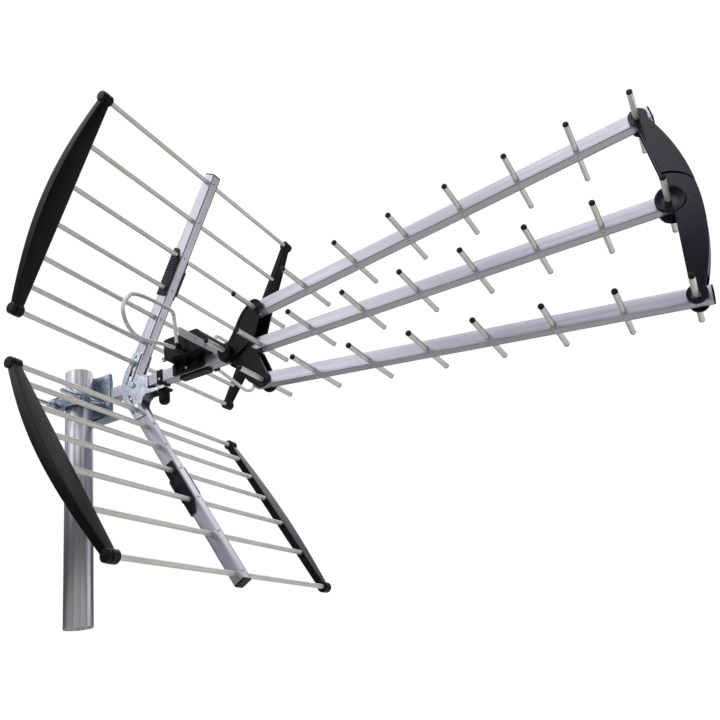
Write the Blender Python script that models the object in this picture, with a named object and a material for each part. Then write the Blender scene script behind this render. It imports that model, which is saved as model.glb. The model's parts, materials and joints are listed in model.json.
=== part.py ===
"""Three-boom UHF yagi antenna on a mast stub, one object for each piece of the real assembly.

All numbers are millimetres. Two frames are used:
  world    origin on the mast's axis at the mast's foot, +Z up, +Y towards the antenna's nose;
  antenna  origin on the main boom where its rearmost long-pitch director crosses it, same directions.
Every piece but the mast hangs on the empty "antenna", and each folding group on an empty at its pivot.
"""

import bpy
import bmesh
import math
from mathutils import Matrix, Vector

MM = 0.001
GAP = 0.3                    # clearance that touching pieces keep

# Mast
MAST_RADIUS = 22.5
MAST_WALL = 2.5
MAST_LENGTH = 424.0
ANTENNA = (-39.0, 345.0, 381.0)          # the antenna frame's origin, seen from the mast's foot
MAST_AXIS = (39.0, -345.0)               # the mast's axis, seen in the antenna frame

# Booms: square tube, crossed by the directors a little under its middle
BOOM_WIDTH = 20.0
BOOM_WALL = 1.5
BOOM_RISE = 2.0                          # boom centreline over the directors' axes
BOOM_REAR = -18.0
BOOM_FRONT = 655.0
MAIN_BOOM_REAR = -338.0
BOOM_TILT = math.radians(6.93)

# Directors
ROD_RADIUS = 4.0
ROD_HOLE = ROD_RADIUS + GAP
DIRECTOR_HALF = 75.0
DIRECTOR_PITCH = 90.88
NOSE_PITCH = 88.5                        # the last pitch, next to the nose, is shorter
DIRECTORS_PER_BOOM = 8

# Rear spreader and nose arc: each boom hangs between a rear arm and a front arm
HUB = (-56.0, 0.0)                       # (y, z) of the rear arms' pivot
SPREAD = 62.6                            # height of the outer booms' rear pivots
HUB_RADIUS = 17.0
HUB_HALF = 29.0
DRUM_RADIUS = 11.8
ARM_CHEEK = 3.6
ARM_TIP_RADIUS = 13.8
ARM_SHOULDER = (33.0, 60.0)              # (y, z) from the hub, on the rear edge
ARM_WAIST = (18.5, 38.0)
ARM_HEEL = (50.0, 8.0)
BOOM_SPAN = DIRECTOR_PITCH * (DIRECTORS_PER_BOOM - 2) + NOSE_PITCH
NOSE = (BOOM_SPAN, 0.0)
# Front arm's tip from its own pivot: where the tilted boom brings its nose director.
NOSE_TIP = (BOOM_SPAN * (math.cos(BOOM_TILT) - 1.0), SPREAD + BOOM_SPAN * math.sin(BOOM_TILT))
NOSE_TIP_HOLE = 6.1                      # wide, because the folding linkage is opened here

# Folding reflector
PANEL_HINGE = (-247.6, 42.8)
PANEL_ANGLE = math.radians(60.66)
PANEL_RODS = (0.0, 39.7, 86.8, 141.1, 202.8, 271.9, 348.2)
PANEL_INNER_RODS = 4
PANEL_BASE = -24.0
PANEL_JOINT = 161.0
PANEL_TIP = 365.0
PANEL_ROD_HALF = 263.0
END_BAR_X = 257.5

# Knob that tightens the boom strap, through the bracket's tongue
KNOB_Y = -196.5
KNOB_STEM = 4.5

# Balun box
BOX_HALF = 40.0
BOX_REAR = -163.0
BOX_FRONT = -90.0
BOX_FLOOR = BOOM_RISE + BOOM_WIDTH / 2 + GAP
BOX_SPLIT = 33.0
BOX_TOP = 48.0
BOX_WALL = 2.5
DIPOLE_Y = -127.0
DIPOLE_RADIUS = 3.0

# Mast clamp
CLAMP_BOLT_OFFSET = 28.0                 # bolt axes in front of and behind the mast's axis
CLAMP_BOLT_Z = -15.0
CLAMP_BOLT_RADIUS = 3.9
JAW_LOW = -26.0
JAW_HIGH = -4.0

ROD_SIDES = 12


# ---------------------------------------------------------------- scene and materials

def clear_scene():
    for obj in list(bpy.data.objects):
        bpy.data.objects.remove(obj, do_unlink=True)


def material(name, colour, roughness, metallic):
    made = bpy.data.materials.new(name)
    made.use_nodes = True
    shader = made.node_tree.nodes["Principled BSDF"]
    shader.inputs["Base Color"].default_value = (*colour, 1.0)
    shader.inputs["Roughness"].default_value = roughness
    shader.inputs["Metallic"].default_value = metallic
    made.diffuse_color = (*colour, 1.0)
    return made


def frame_at(name, parent, x, y, z, tilt=0.0):
    """An empty that carries a group: its origin is the group's pivot, turned by tilt about X."""
    empty = bpy.data.objects.new(name, None)
    bpy.context.scene.collection.objects.link(empty)
    empty.parent = parent
    empty.location = Vector((x, y, z)) * MM
    empty.rotation_euler = (tilt, 0.0, 0.0)
    return empty


# ---------------------------------------------------------------- shapes, as bmesh

def add_prism(bm, outline, axis, low, high):
    """Extrudes a 2-D outline along an axis: (y, z) along X, (x, z) along Y, (x, y) along Z."""
    place = {
        "X": lambda u, v, w: (w, u, v),
        "Y": lambda u, v, w: (u, w, v),
        "Z": lambda u, v, w: (u, v, w),
    }[axis]
    ends = []
    for along in (low, high):
        ends.append([bm.verts.new(Vector(place(u, v, along)) * MM) for u, v in outline])
    bm.faces.new(ends[0])
    bm.faces.new(ends[1])
    for i in range(len(outline)):
        j = (i + 1) % len(outline)
        bm.faces.new((ends[0][i], ends[0][j], ends[1][j], ends[1][i]))


def add_box(bm, low, high):
    outline = [(low[0], low[1]), (high[0], low[1]), (high[0], high[1]), (low[0], high[1])]
    add_prism(bm, outline, "Z", low[2], high[2])


def add_rod(bm, start, end, radius, sides=ROD_SIDES):
    """A closed cylinder from start to end."""
    start = Vector(start) * MM
    end = Vector(end) * MM
    along = end - start
    place = Matrix.Translation((start + end) / 2) @ along.to_track_quat("Z", "Y").to_matrix().to_4x4()
    bmesh.ops.create_cone(
        bm, cap_ends=True, segments=sides, radius1=radius * MM, radius2=radius * MM,
        depth=along.length, matrix=place,
    )


def add_tube(bm, outer, inner, low, high, axis="Y"):
    """A tube along an axis, between two outlines with the same number of points."""
    rings = []
    for along in (low, high):
        for outline in (outer, inner):
            ring = []
            for u, v in outline:
                spot = (u, along, v) if axis == "Y" else (u, v, along)
                ring.append(bm.verts.new(Vector(spot) * MM))
            rings.append(ring)
    outer_low, inner_low, outer_high, inner_high = rings
    for a, b in ((outer_low, outer_high), (inner_low, inner_high),
                 (outer_low, inner_low), (outer_high, inner_high)):
        for i in range(len(a)):
            j = (i + 1) % len(a)
            bm.faces.new((a[i], a[j], b[j], b[i]))


def add_turned(bm, profile, centre, axis="Z", sides=20):
    """Turns a profile of (radius, height) about an axis through centre."""
    points = [bm.verts.new(Vector((radius, 0.0, height)) * MM) for radius, height in profile]
    edges = [bm.edges.new(pair) for pair in zip(points, points[1:])]
    bmesh.ops.spin(
        bm, geom=points + edges, cent=(0, 0, 0), axis=(0, 0, 1),
        angle=math.tau, steps=sides, use_merge=True,
    )
    bmesh.ops.remove_doubles(bm, verts=bm.verts, dist=1e-6)
    turn = {
        "Z": Matrix.Identity(4),
        "-Y": Matrix.Rotation(math.pi / 2, 4, "X"),
    }[axis]
    bmesh.ops.transform(bm, matrix=Matrix.Translation(Vector(centre) * MM) @ turn, verts=bm.verts)


def square(half, centre_v=0.0):
    return [(-half, centre_v - half), (half, centre_v - half), (half, centre_v + half), (-half, centre_v + half)]


def circle(radius, sides, centre=(0.0, 0.0)):
    return arc(centre, radius, 0.0, 360.0 * (sides - 1) / sides, sides)


def arc(centre, radius, start, end, count):
    """count points from start to end degrees."""
    points = []
    for i in range(count):
        angle = math.radians(start + (end - start) * i / (count - 1))
        points.append((centre[0] + radius * math.cos(angle), centre[1] + radius * math.sin(angle)))
    return points


def mirrored(outline, side):
    """The outline itself for side 1, and flipped in its second coordinate for side -1."""
    return [(u, v * side) for u, v in outline]


# ---------------------------------------------------------------- objects

def finish(name, bm, parent, look=None):
    bmesh.ops.recalc_face_normals(bm, faces=bm.faces)
    mesh = bpy.data.meshes.new(name)
    bm.to_mesh(mesh)
    bm.free()
    mesh.shade_smooth()
    mesh.set_sharp_from_angle(angle=math.radians(35))
    obj = bpy.data.objects.new(name, mesh)
    bpy.context.scene.collection.objects.link(obj)
    obj.parent = parent
    if look:
        mesh.materials.append(look)
    return obj


def shape(*adders):
    """A bmesh that each adder puts a shape into."""
    bm = bmesh.new()
    for adder in adders:
        adder(bm)
    return bm


def boolean(obj, operation, bm):
    """Joins a shape to obj or cuts it out. The helper stays in the scene, hidden."""
    helper = finish(obj.name + "_" + operation.lower(), bm, obj.parent)
    helper.hide_render = True
    helper.display_type = "WIRE"
    step = obj.modifiers.new(operation.lower(), "BOOLEAN")
    step.operation = operation
    step.solver = "EXACT"
    step.use_self = operation == "UNION"
    step.object = helper
    return obj


def rods_along_x(places, half, radius, sides=ROD_SIDES):
    """Cylinders along X through the given (y, z) places."""
    bm = bmesh.new()
    for y, z in places:
        add_rod(bm, (-half, y, z), (half, y, z), radius, sides)
    return bm


# ---------------------------------------------------------------- booms and directors

def director_places():
    """Distance of each director along its boom, from the eighth to the nose one."""
    places = [i * DIRECTOR_PITCH for i in range(DIRECTORS_PER_BOOM - 1)]
    return places + [places[-1] + NOSE_PITCH]


def boom(name, parent, rear, holes, look, rise=BOOM_RISE):
    bm = bmesh.new()
    outer = square(BOOM_WIDTH / 2, rise)
    inner = square(BOOM_WIDTH / 2 - BOOM_WALL, rise)
    add_tube(bm, outer, inner, rear, BOOM_FRONT)
    obj = finish(name, bm, parent, look)
    return boolean(obj, "DIFFERENCE", rods_along_x(holes, BOOM_WIDTH, ROD_HOLE))


def director(name, parent, y, z, look):
    """One rod: its origin is where it crosses the boom."""
    bm = shape(lambda b: add_rod(b, (-DIRECTOR_HALF, 0, 0), (DIRECTOR_HALF, 0, 0), ROD_RADIUS))
    obj = finish(name, bm, parent, look)
    obj.location = Vector((0.0, y, z)) * MM
    return obj


def boom_with_directors(label, parent, rear, looks, extra=(), rise=BOOM_RISE):
    places = director_places()
    holes = [(y, 0.0) for y in places] + list(extra)
    boom(label + "_boom", parent, rear, holes, looks["boom"], rise)
    for number, y in zip(range(DIRECTORS_PER_BOOM, 0, -1), places):
        director("director_%s_%d" % (label, number), parent, y, 0.0, looks["rod"])
    for y, z in extra:
        director("director_%s_%d" % (label, DIRECTORS_PER_BOOM + 1), parent, y, z, looks["rod"])


# ---------------------------------------------------------------- rear spreader

def rear_arm(name, antenna, side, inner_x, looks):
    """A two-cheeked arm from the hub to an outer boom's rear end, with a web along its rear edge.

    Each cheek is narrow at its waist, round at both pivots, and runs forward to a heel beside the main boom.
    """
    hub = frame_at(name + "_pivot", antenna, 0.0, *HUB)
    tip = (-HUB[0], SPREAD)
    outline = arc(tip, ARM_TIP_RADIUS, -35.0, 150.0, 12)
    outline += [ARM_SHOULDER, ARM_WAIST]
    outline += arc((0.0, 0.0), HUB_RADIUS, 75.0, 310.0, 14)
    outline.append(ARM_HEEL)
    outer_x = inner_x + ARM_CHEEK
    bm = bmesh.new()
    for x in (-1, 1):
        add_prism(bm, mirrored(outline, side), "X", x * inner_x, x * outer_x)
    obj = finish(name, bm, hub, looks["plastic"])

    waist = Vector(ARM_WAIST)
    shoulder = Vector(ARM_SHOULDER)
    inward = Vector((3.0, -1.6))
    web = [waist, waist.lerp(shoulder, 0.7), waist.lerp(shoulder, 0.7) + inward, waist + inward]
    web = [(spot.x + 0.5, spot.y) for spot in web]
    more = shape(lambda b: add_prism(b, mirrored(web, side), "X", -inner_x - 1.0, inner_x + 1.0))
    tip = (tip[0], tip[1] * side)
    for x in (-1, 1):
        if inner_x > 12.0:
            # The upper arm stands outside the lower one: bosses reach in to its boom, drums cap the hub.
            add_rod(more, (x * (BOOM_WIDTH / 2 + 0.8), *tip), (x * (inner_x + 1.0), *tip), 9.5, 20)
            add_rod(more, (x * (outer_x - 1.0), 0, 0), (x * HUB_HALF, 0, 0), DRUM_RADIUS, 24)
    boolean(obj, "UNION", more)
    return boolean(obj, "DIFFERENCE", rods_along_x([(0.0, 0.0), tip], 40.0, ROD_HOLE))


# ---------------------------------------------------------------- nose arc

def nose_outline(start_z, foot):
    """A front arm from its own pivot, for the upper side: outer arc, round tip, inner edge, then its foot."""
    arc_centre = (-260.8, 0.0)
    arc_radius = 300.0
    start = math.degrees(math.asin(start_z / arc_radius))
    top = math.degrees(math.asin(124.0 / arc_radius))
    outline = arc(arc_centre, arc_radius, start, top, 9)
    outline += arc((NOSE_TIP[0] + 2.0, NOSE_TIP[1] - 0.5), 13.2, -32.0, 250.0, 15)
    outline.append((-7.0, 117.0))
    return outline + foot


def front_arm(name, antenna, side, looks):
    """Upper arm: a recessed inner layer reaches the pivot. Lower arm: its cheeks cover the pivot."""
    pivot = frame_at(name + "_pivot", antenna, 0.0, *NOSE)
    hub_turn = arc((0.0, 0.0), 17.0, 80.0, 300.0, 12)
    bm = bmesh.new()
    more = bmesh.new()
    if side > 0:
        layer = nose_outline(7.0, hub_turn)
        shoulder = arc((0.0, 0.0), 42.0, 86.0, 26.0, 8)
        for x in (-1, 1):
            add_prism(bm, layer, "X", x * 10.8, x * 13.2)
            add_prism(more, nose_outline(17.0, shoulder), "X", x * 12.9, x * 16.0)
        web_low, web_x = 11.0, 14.0
    else:
        layer = nose_outline(-4.0, hub_turn)
        for x in (-1, 1):
            add_prism(bm, mirrored(layer, side), "X", x * 13.6, x * 16.0)
            add_rod(more, (x * 10.8, NOSE_TIP[0], -NOSE_TIP[1]), (x * 14.0, NOSE_TIP[0], -NOSE_TIP[1]), 9.5, 20)
            add_rod(more, (x * 15.5, 3.0, 0.0), (x * 17.2, 3.0, 0.0), 20.0, 28)
        web_low, web_x = -4.0, 14.0
    start = math.degrees(math.asin(web_low / 300.0))
    end = math.degrees(math.asin(112.0 / 300.0))
    web = arc((-260.8, 0.0), 299.6, start, end, 9) + arc((-260.8, 0.0), 296.6, end, start, 9)
    add_prism(more, mirrored(web, side), "X", -web_x, web_x)
    obj = finish(name, bm, pivot, looks["plastic"])
    boolean(obj, "UNION", more)
    holes = shape(lambda b: add_rod(b, (-40, 0, 0), (40, 0, 0), ROD_HOLE))
    tip_z = NOSE_TIP[1] * side
    add_rod(holes, (-40, NOSE_TIP[0], tip_z), (40, NOSE_TIP[0], tip_z), NOSE_TIP_HOLE, 16)
    return boolean(obj, "DIFFERENCE", holes)


# ---------------------------------------------------------------- reflector

def panel_half(name, hinge, rods, low, high, looks):
    """A length of square tube with the rods that are pressed through it."""
    bm = bmesh.new()
    add_tube(bm, square(BOOM_WIDTH / 2), square(BOOM_WIDTH / 2 - BOOM_WALL), low, high)
    obj = finish(name, bm, hinge, looks["boom"])
    places = [(s, 0.0) for s in rods]
    return boolean(obj, "UNION", rods_along_x(places, PANEL_ROD_HALF, ROD_RADIUS))


def end_bar(name, hinge, x_side, side, looks):
    """A crescent moulding over the rods' ends: straight inside, bulging outwards, with a round knob at each end."""
    stations = 11
    inside = 2.0
    front = -4.5
    knob_back = 0.8 * side
    first = PANEL_RODS[0] - 5.0
    last = PANEL_RODS[-1] + 5.0
    rings = []
    bm = bmesh.new()
    for i in range(stations):
        share = i / (stations - 1)
        swell = math.sin(math.pi * share) ** 0.95
        reach = 15.0 + 23.0 * swell
        rear = 8.5 + 4.5 * swell
        section = [
            (inside, front), (reach - 1.5, front), (reach, front + 2.0), (reach, rear - 4.0),
            (reach - 1.2, rear - 1.2), (reach - 4.0, rear), (inside, 8.0),
        ]
        s = first + (last - first) * share
        ring = []
        for out, back in section:
            ring.append(bm.verts.new(Vector((x_side * (END_BAR_X + out), s, side * back)) * MM))
        rings.append(ring)
    for a, b in zip(rings, rings[1:]):
        for i in range(len(a)):
            j = (i + 1) % len(a)
            bm.faces.new((a[i], a[j], b[j], b[i]))
    bm.faces.new(rings[0])
    bm.faces.new(rings[-1])
    obj = finish(name, bm, hinge, looks["plastic"])
    knobs = bmesh.new()
    sockets = bmesh.new()
    for s in (PANEL_RODS[0], PANEL_RODS[-1]):
        low, high = x_side * END_BAR_X, x_side * (END_BAR_X + 20.5)
        add_rod(knobs, (low, s, knob_back), (high, s, knob_back), 9.2, 16)
    for s in PANEL_RODS:
        add_rod(sockets, (x_side * (END_BAR_X - 5.0), s, 0), (x_side * (PANEL_ROD_HALF + 0.5), s, 0), ROD_HOLE)
    boolean(obj, "UNION", knobs)
    return boolean(obj, "DIFFERENCE", sockets)


def snap_clip(name, hinge, side, low, high, looks):
    """The moulding that snaps over the joint of the two tube halves, open at the front."""
    inside = BOOM_WIDTH / 2 + GAP
    outside = inside + 3.0
    outline = [
        (-outside, -8.5), (-inside, -8.5), (-inside, inside), (inside, inside),
        (inside, -8.5), (outside, -8.5), (outside, outside), (-outside, outside),
    ]
    bm = shape(lambda b: add_prism(b, mirrored(outline, side), "Y", low, high))
    obj = finish(name, bm, hinge, looks["plastic"])
    holes = [(s, 0.0) for s in PANEL_RODS if low < s < high]
    return boolean(obj, "DIFFERENCE", rods_along_x(holes, 20.0, ROD_HOLE))


def reflector_panel(label, antenna, side, clip, looks):
    hinge = frame_at(label + "_hinge", antenna, 0.0, PANEL_HINGE[0], PANEL_HINGE[1] * side, PANEL_ANGLE * side)
    # Both panels' +Y runs out along the tube; the rear is +Z on the upper one and -Z on the lower.
    inner = PANEL_RODS[:PANEL_INNER_RODS]
    outer = PANEL_RODS[PANEL_INNER_RODS:]
    panel_half(label + "_inner", hinge, inner, PANEL_BASE, PANEL_JOINT - GAP, looks)
    panel_half(label + "_outer", hinge, outer, PANEL_JOINT, PANEL_TIP, looks)
    for word, x_side in (("right", 1), ("left", -1)):
        end_bar("%s_end_bar_%s" % (label, word), hinge, x_side, side, looks)
    snap_clip(label + "_snap_clip", hinge, side, *clip, looks)


def reflector_bracket(antenna, looks):
    """Pressed plates on both sides of the boom, joined over and under it: they hold both panels' hinges.

    Each plate's arms lie along the reflector tubes, and a third one runs forward as the tongue's edge.
    """
    arm = [(-275.0, 4.0), (-273.5, 18.0), (-267.0, 32.0), (-260.0, 42.0), (-248.5, 62.0), (-227.5, 57.0), (-237.5, 36.5)]
    tongue_edge = [
        (-221.0, -13.0), (-205.0, -15.7), (-187.0, -15.7), (-187.0, -20.5), (-213.0, -20.8), (-227.0, -20.4), (-233.0, -25.0),
    ]
    outline = arm + [(-244.0, 22.0), (-236.0, 14.5), (-221.0, 13.5)] + tongue_edge
    outline += [(y, -z) for y, z in reversed(arm)]
    inner_x = BOOM_WIDTH / 2 + 0.6
    outer_x = inner_x + 2.0
    bm = bmesh.new()
    for x in (-1, 1):
        add_prism(bm, outline, "X", x * inner_x, x * outer_x)
    obj = finish("reflector_bracket", bm, antenna, looks["zinc"])
    webs = bmesh.new()
    add_box(webs, (-inner_x - 1, -262, 12.4), (inner_x + 1, -241, 14.2))
    add_box(webs, (-inner_x - 1, -262, -10.2), (inner_x + 1, -241, -8.4))
    # The tongue runs forward from the lower web to the boom strap.
    tongue = [
        (-244.0, -10.2), (-244.0, -8.6), (-232.0, -10.2), (-207.0, -16.0),
        (-188.0, -16.0), (-188.0, -17.5), (-207.5, -17.5), (-233.0, -12.0),
    ]
    add_prism(webs, tongue, "X", -inner_x - 1, inner_x + 1)
    boolean(obj, "UNION", webs)
    holes = rods_along_x([PANEL_HINGE, (PANEL_HINGE[0], -PANEL_HINGE[1])], 20.0, ROD_HOLE)
    add_rod(holes, (0, KNOB_Y, -21), (0, KNOB_Y, -12), KNOB_STEM + 0.7)
    return boolean(obj, "DIFFERENCE", holes)


def boom_strap(antenna, looks):
    inside = BOOM_WIDTH / 2 + GAP
    half = 5.0
    bm = bmesh.new()
    add_tube(bm, square(inside + 2.3, BOOM_RISE), square(inside, BOOM_RISE), KNOB_Y - half, KNOB_Y + half)
    return finish("boom_strap", bm, antenna, looks["plastic"])


def tension_knob(antenna, looks):
    knob = frame_at("tension_knob_axis", antenna, 0.0, KNOB_Y, 0.0)
    profile = [
        (0.0, -10.9), (KNOB_STEM, -10.9), (KNOB_STEM, -17.9), (9.2, -17.9), (9.2, -38.0),
        (8.2, -42.0), (5.4, -44.4), (0.0, -45.0),
    ]
    bm = bmesh.new()
    add_turned(bm, profile, (0.0, 0.0, 0.0))
    return finish("tension_knob", bm, knob, looks["plastic"])


# ---------------------------------------------------------------- balun box and dipole

def box_side_outline(low, high, radius):
    """The box seen from its end, with a round front top corner where the radius isn't zero."""
    outline = [(BOX_REAR, low), (BOX_FRONT, low)]
    if radius:
        outline += arc((BOX_FRONT - radius, high - radius), radius, 0.0, 90.0, 6)
        outline += arc((BOX_REAR + radius / 2, high - radius / 2), radius / 2, 90.0, 180.0, 4)
    else:
        outline += [(BOX_FRONT, high), (BOX_REAR, high)]
    return outline


def balun_box(antenna, looks):
    inner = BOX_HALF - BOX_WALL
    rear = BOX_REAR + BOX_WALL
    front = BOX_FRONT - BOX_WALL
    base = shape(lambda b: add_prism(b, box_side_outline(BOX_FLOOR, BOX_SPLIT, 0.0), "X", -BOX_HALF, BOX_HALF))
    housing = finish("balun_housing", base, antenna, looks["plastic"])
    saddle = bmesh.new()
    cheek = [(-167.0, -7.8), (-112.0, -7.8), (-105.0, -2.0), (-105.0, BOX_FLOOR + 1), (-162.0, BOX_FLOOR + 1), (-167.0, 8.0)]
    for x in (-1, 1):
        add_prism(saddle, cheek, "X", x * 10.8, x * 14.0)
    boolean(housing, "UNION", saddle)
    cavity = shape(lambda b: add_box(b, (-inner, rear, BOX_FLOOR + BOX_WALL), (inner, front, BOX_SPLIT + 1)))
    boolean(housing, "DIFFERENCE", cavity)

    lid = shape(lambda b: add_prism(b, box_side_outline(BOX_SPLIT + GAP, BOX_TOP, 10.0), "X", -BOX_HALF, BOX_HALF))
    cover = finish("balun_cover", lid, antenna, looks["plastic"])
    under = shape(lambda b: add_box(b, (-inner, rear, BOX_SPLIT - 1), (inner, front - 6, BOX_TOP - BOX_WALL)))
    boolean(cover, "DIFFERENCE", under)

    board = shape(lambda b: add_box(b, (-inner + GAP, rear + GAP, 28.0), (inner - GAP, front - GAP, 29.6)))
    finish("balun_circuit_board", board, antenna, looks["board"])

    pad = shape(lambda b: add_box(b, (-8.0, -159.0, -13.2), (8.0, -101.0, -9.2)))
    plate = finish("box_clamp_plate", pad, antenna, looks["plastic"])
    boolean(plate, "UNION", shape(lambda b: add_box(b, (-6.0, -156.0, -9.8), (6.0, -104.0, -8.3))))

    profile = [(0.0, 0.3), (7.0, 0.3), (7.0, 4.0), (4.8, 4.0), (4.8, 14.0), (1.2, 14.0), (1.2, 8.0), (0.0, 8.0)]
    bm = bmesh.new()
    add_turned(bm, profile, (24.0, BOX_REAR, 23.0), "-Y", 16)
    finish("coax_connector", bm, antenna, looks["zinc"])


def dipole_loop(name, antenna, x_side, looks):
    """A bent rod: out along the bottom, round the wide end, back along the top and down its riser."""
    low_z = 17.0
    path = [(BOX_HALF + GAP, low_z), (53.0, 17.4), (94.0, 11.2), (127.0, 5.2), (142.5, 3.3), (154.0, 5.0),
            (163.0, 9.2), (175.0, 21.8), (179.6, 37.2), (174.0, 53.1), (166.2, 64.2), (153.0, 74.7),
            (123.4, 80.3), (90.0, 81.9), (63.8, 82.0), (58.5, 78.5), (56.8, 72.2), (54.2, 48.0), (53.0, 23.7)]
    curve = bpy.data.curves.new(name, "CURVE")
    curve.dimensions = "3D"
    curve.bevel_depth = DIPOLE_RADIUS * MM
    curve.bevel_resolution = 2
    curve.use_fill_caps = True
    line = curve.splines.new("POLY")
    line.points.add(len(path) - 1)
    for point, (x, z) in zip(line.points, path):
        point.co = (x * x_side * MM, DIPOLE_Y * MM, z * MM, 1.0)
    curve.materials.append(looks["rod"])
    obj = bpy.data.objects.new(name, curve)
    bpy.context.scene.collection.objects.link(obj)
    obj.parent = antenna
    return obj


def launch_strip(antenna, looks):
    """A flat strip with rounded corners, on the front of the balun box."""
    height = 14.0
    reach = 98.0
    corner = 3.0
    low = BOX_FLOOR + GAP
    middle = low + height / 2
    outline = []
    for x, z, turn in ((1, -1, -90.0), (1, 1, 0.0), (-1, 1, 90.0), (-1, -1, 180.0)):
        centre = (x * (reach - corner), middle + z * (height / 2 - corner))
        outline += arc(centre, corner, turn, turn + 90.0, 4)
    bm = shape(lambda b: add_prism(b, outline, "Y", BOX_FRONT + GAP, BOX_FRONT + GAP + 2.0))
    strip = finish("launch_strip", bm, antenna, looks["boom"])
    slots = bmesh.new()
    for x in (-1, 1):
        add_box(slots, (x * 55.5 - 2.5, BOX_FRONT, middle - 2.5), (x * 55.5 + 2.5, BOX_FRONT + 4, middle + 2.5))
    return boolean(strip, "DIFFERENCE", slots)


# ---------------------------------------------------------------- mast and its clamp

def mast_stub(looks):
    bm = bmesh.new()
    outer = circle(MAST_RADIUS, 32)
    inner = circle(MAST_RADIUS - MAST_WALL, 32)
    add_tube(bm, outer, inner, 0.0, MAST_LENGTH, axis="Z")
    return finish("mast_stub", bm, None, looks["zinc"])


def mast_bracket(antenna, looks):
    """A deep channel round the main boom's rear end, with an arched saddle for the mast on its right side.

    Its front keeps only a narrow lip along the mast's side, where the sheet is bent in.
    """
    mast_x, mast_y = MAST_AXIS
    outer = BOOM_WIDTH / 2 + 2.4
    inner = outer - 2.0
    rear, front = mast_y - 45.0, mast_y + 43.5
    lip_x = outer - 6.4
    bm = shape(lambda b: add_box(b, (-outer, rear, -40.0), (outer, front, 39.0)))
    obj = finish("mast_bracket", bm, antenna, looks["zinc"])
    boolean(obj, "DIFFERENCE", shape(lambda b: add_box(b, (-inner, rear - 2, -38.0), (inner, front - 1.6, 41.0))))
    half = 16.0
    lean = math.degrees(math.asin(half / (MAST_RADIUS + GAP)))
    saddle = [(outer - 0.6, mast_y + half)]
    saddle += arc((mast_x, mast_y), MAST_RADIUS + GAP, 180.0 - lean, 180.0 + lean, 9)
    saddle += [(outer - 0.6, mast_y - half)]
    boolean(obj, "UNION", shape(lambda b: add_prism(b, saddle, "Z", -38.0, 37.0)))
    boolean(obj, "DIFFERENCE", shape(lambda b: add_box(b, (-outer - 1, front - 15, -37.5), (lip_x, front + 1, 40.0))))
    openings = bmesh.new()
    low, high = BOOM_RISE - BOOM_WIDTH / 2 - GAP, BOOM_RISE + BOOM_WIDTH / 2 + GAP
    add_box(openings, (-inner, front - 3, low), (inner, front + 1, high))
    for offset in (CLAMP_BOLT_OFFSET, -CLAMP_BOLT_OFFSET):
        y = mast_y + offset
        add_rod(openings, (inner - 1, y, CLAMP_BOLT_Z), (outer + 1, y, CLAMP_BOLT_Z), ROD_HOLE)
    return boolean(obj, "DIFFERENCE", openings)


def clamp_jaw(antenna, looks):
    """The loose jaw: a V that the two bolts pull against the mast."""
    mast_x, mast_y = MAST_AXIS
    notch = mast_x + (MAST_RADIUS + GAP) / math.sin(math.radians(60.0))
    wing = 24.0
    wing_x = notch - wing / math.tan(math.radians(60.0))
    half = [(notch, 0.0), (wing_x, wing), (wing_x, 38.0), (70.0, 38.0)]
    outline = [(x, mast_y + y) for x, y in half]
    outline += [(x, mast_y - y) for x, y in reversed(half[1:])]
    bm = shape(lambda b: add_prism(b, outline, "Z", JAW_LOW, JAW_HIGH))
    obj = finish("clamp_jaw", bm, antenna, looks["zinc"])
    holes = bmesh.new()
    for offset in (CLAMP_BOLT_OFFSET, -CLAMP_BOLT_OFFSET):
        y = mast_y + offset
        add_rod(holes, (40.0, y, CLAMP_BOLT_Z), (80.0, y, CLAMP_BOLT_Z), ROD_HOLE)
    return boolean(obj, "DIFFERENCE", holes)


def clamp_bolt(name, antenna, offset, looks):
    axis = frame_at(name + "_axis", antenna, 0.0, MAST_AXIS[1] + offset, CLAMP_BOLT_Z)
    head = BOOM_WIDTH / 2 + 0.1
    bm = shape(lambda b: add_rod(b, (head - 5.6, 0, 0), (head, 0, 0), 5.6, 6))
    obj = finish(name, bm, axis, looks["zinc"])
    return boolean(obj, "UNION", shape(lambda b: add_rod(b, (head - 1, 0, 0), (108.0, 0, 0), CLAMP_BOLT_RADIUS)))


def wing_nut(name, antenna, offset, turn, looks):
    """A boss on the bolt with two wings leaning outwards."""
    axis = frame_at(name + "_axis", antenna, 0.0, MAST_AXIS[1] + offset, CLAMP_BOLT_Z)
    seat = 70.0 + GAP
    bm = shape(lambda b: add_rod(b, (seat, 0, 0), (seat + 9.0, 0, 0), 7.5, 16))
    obj = finish(name, bm, axis, looks["zinc"])
    wings = bmesh.new()
    blade = [(1.0, 5.5), (8.0, 5.5), (17.0, 14.0), (18.5, 20.0), (15.0, 23.0), (10.0, 21.5), (3.0, 12.0)]
    for up in (-1, 1):
        add_prism(wings, [(seat + x, r * up) for x, r in blade], "Y", -1.6, 1.6)
    boolean(obj, "UNION", wings)
    boolean(obj, "DIFFERENCE", shape(lambda b: add_rod(b, (60, 0, 0), (120, 0, 0), ROD_HOLE)))
    axis.rotation_euler.x = math.radians(turn)
    return obj


# ---------------------------------------------------------------- assembly

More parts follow.
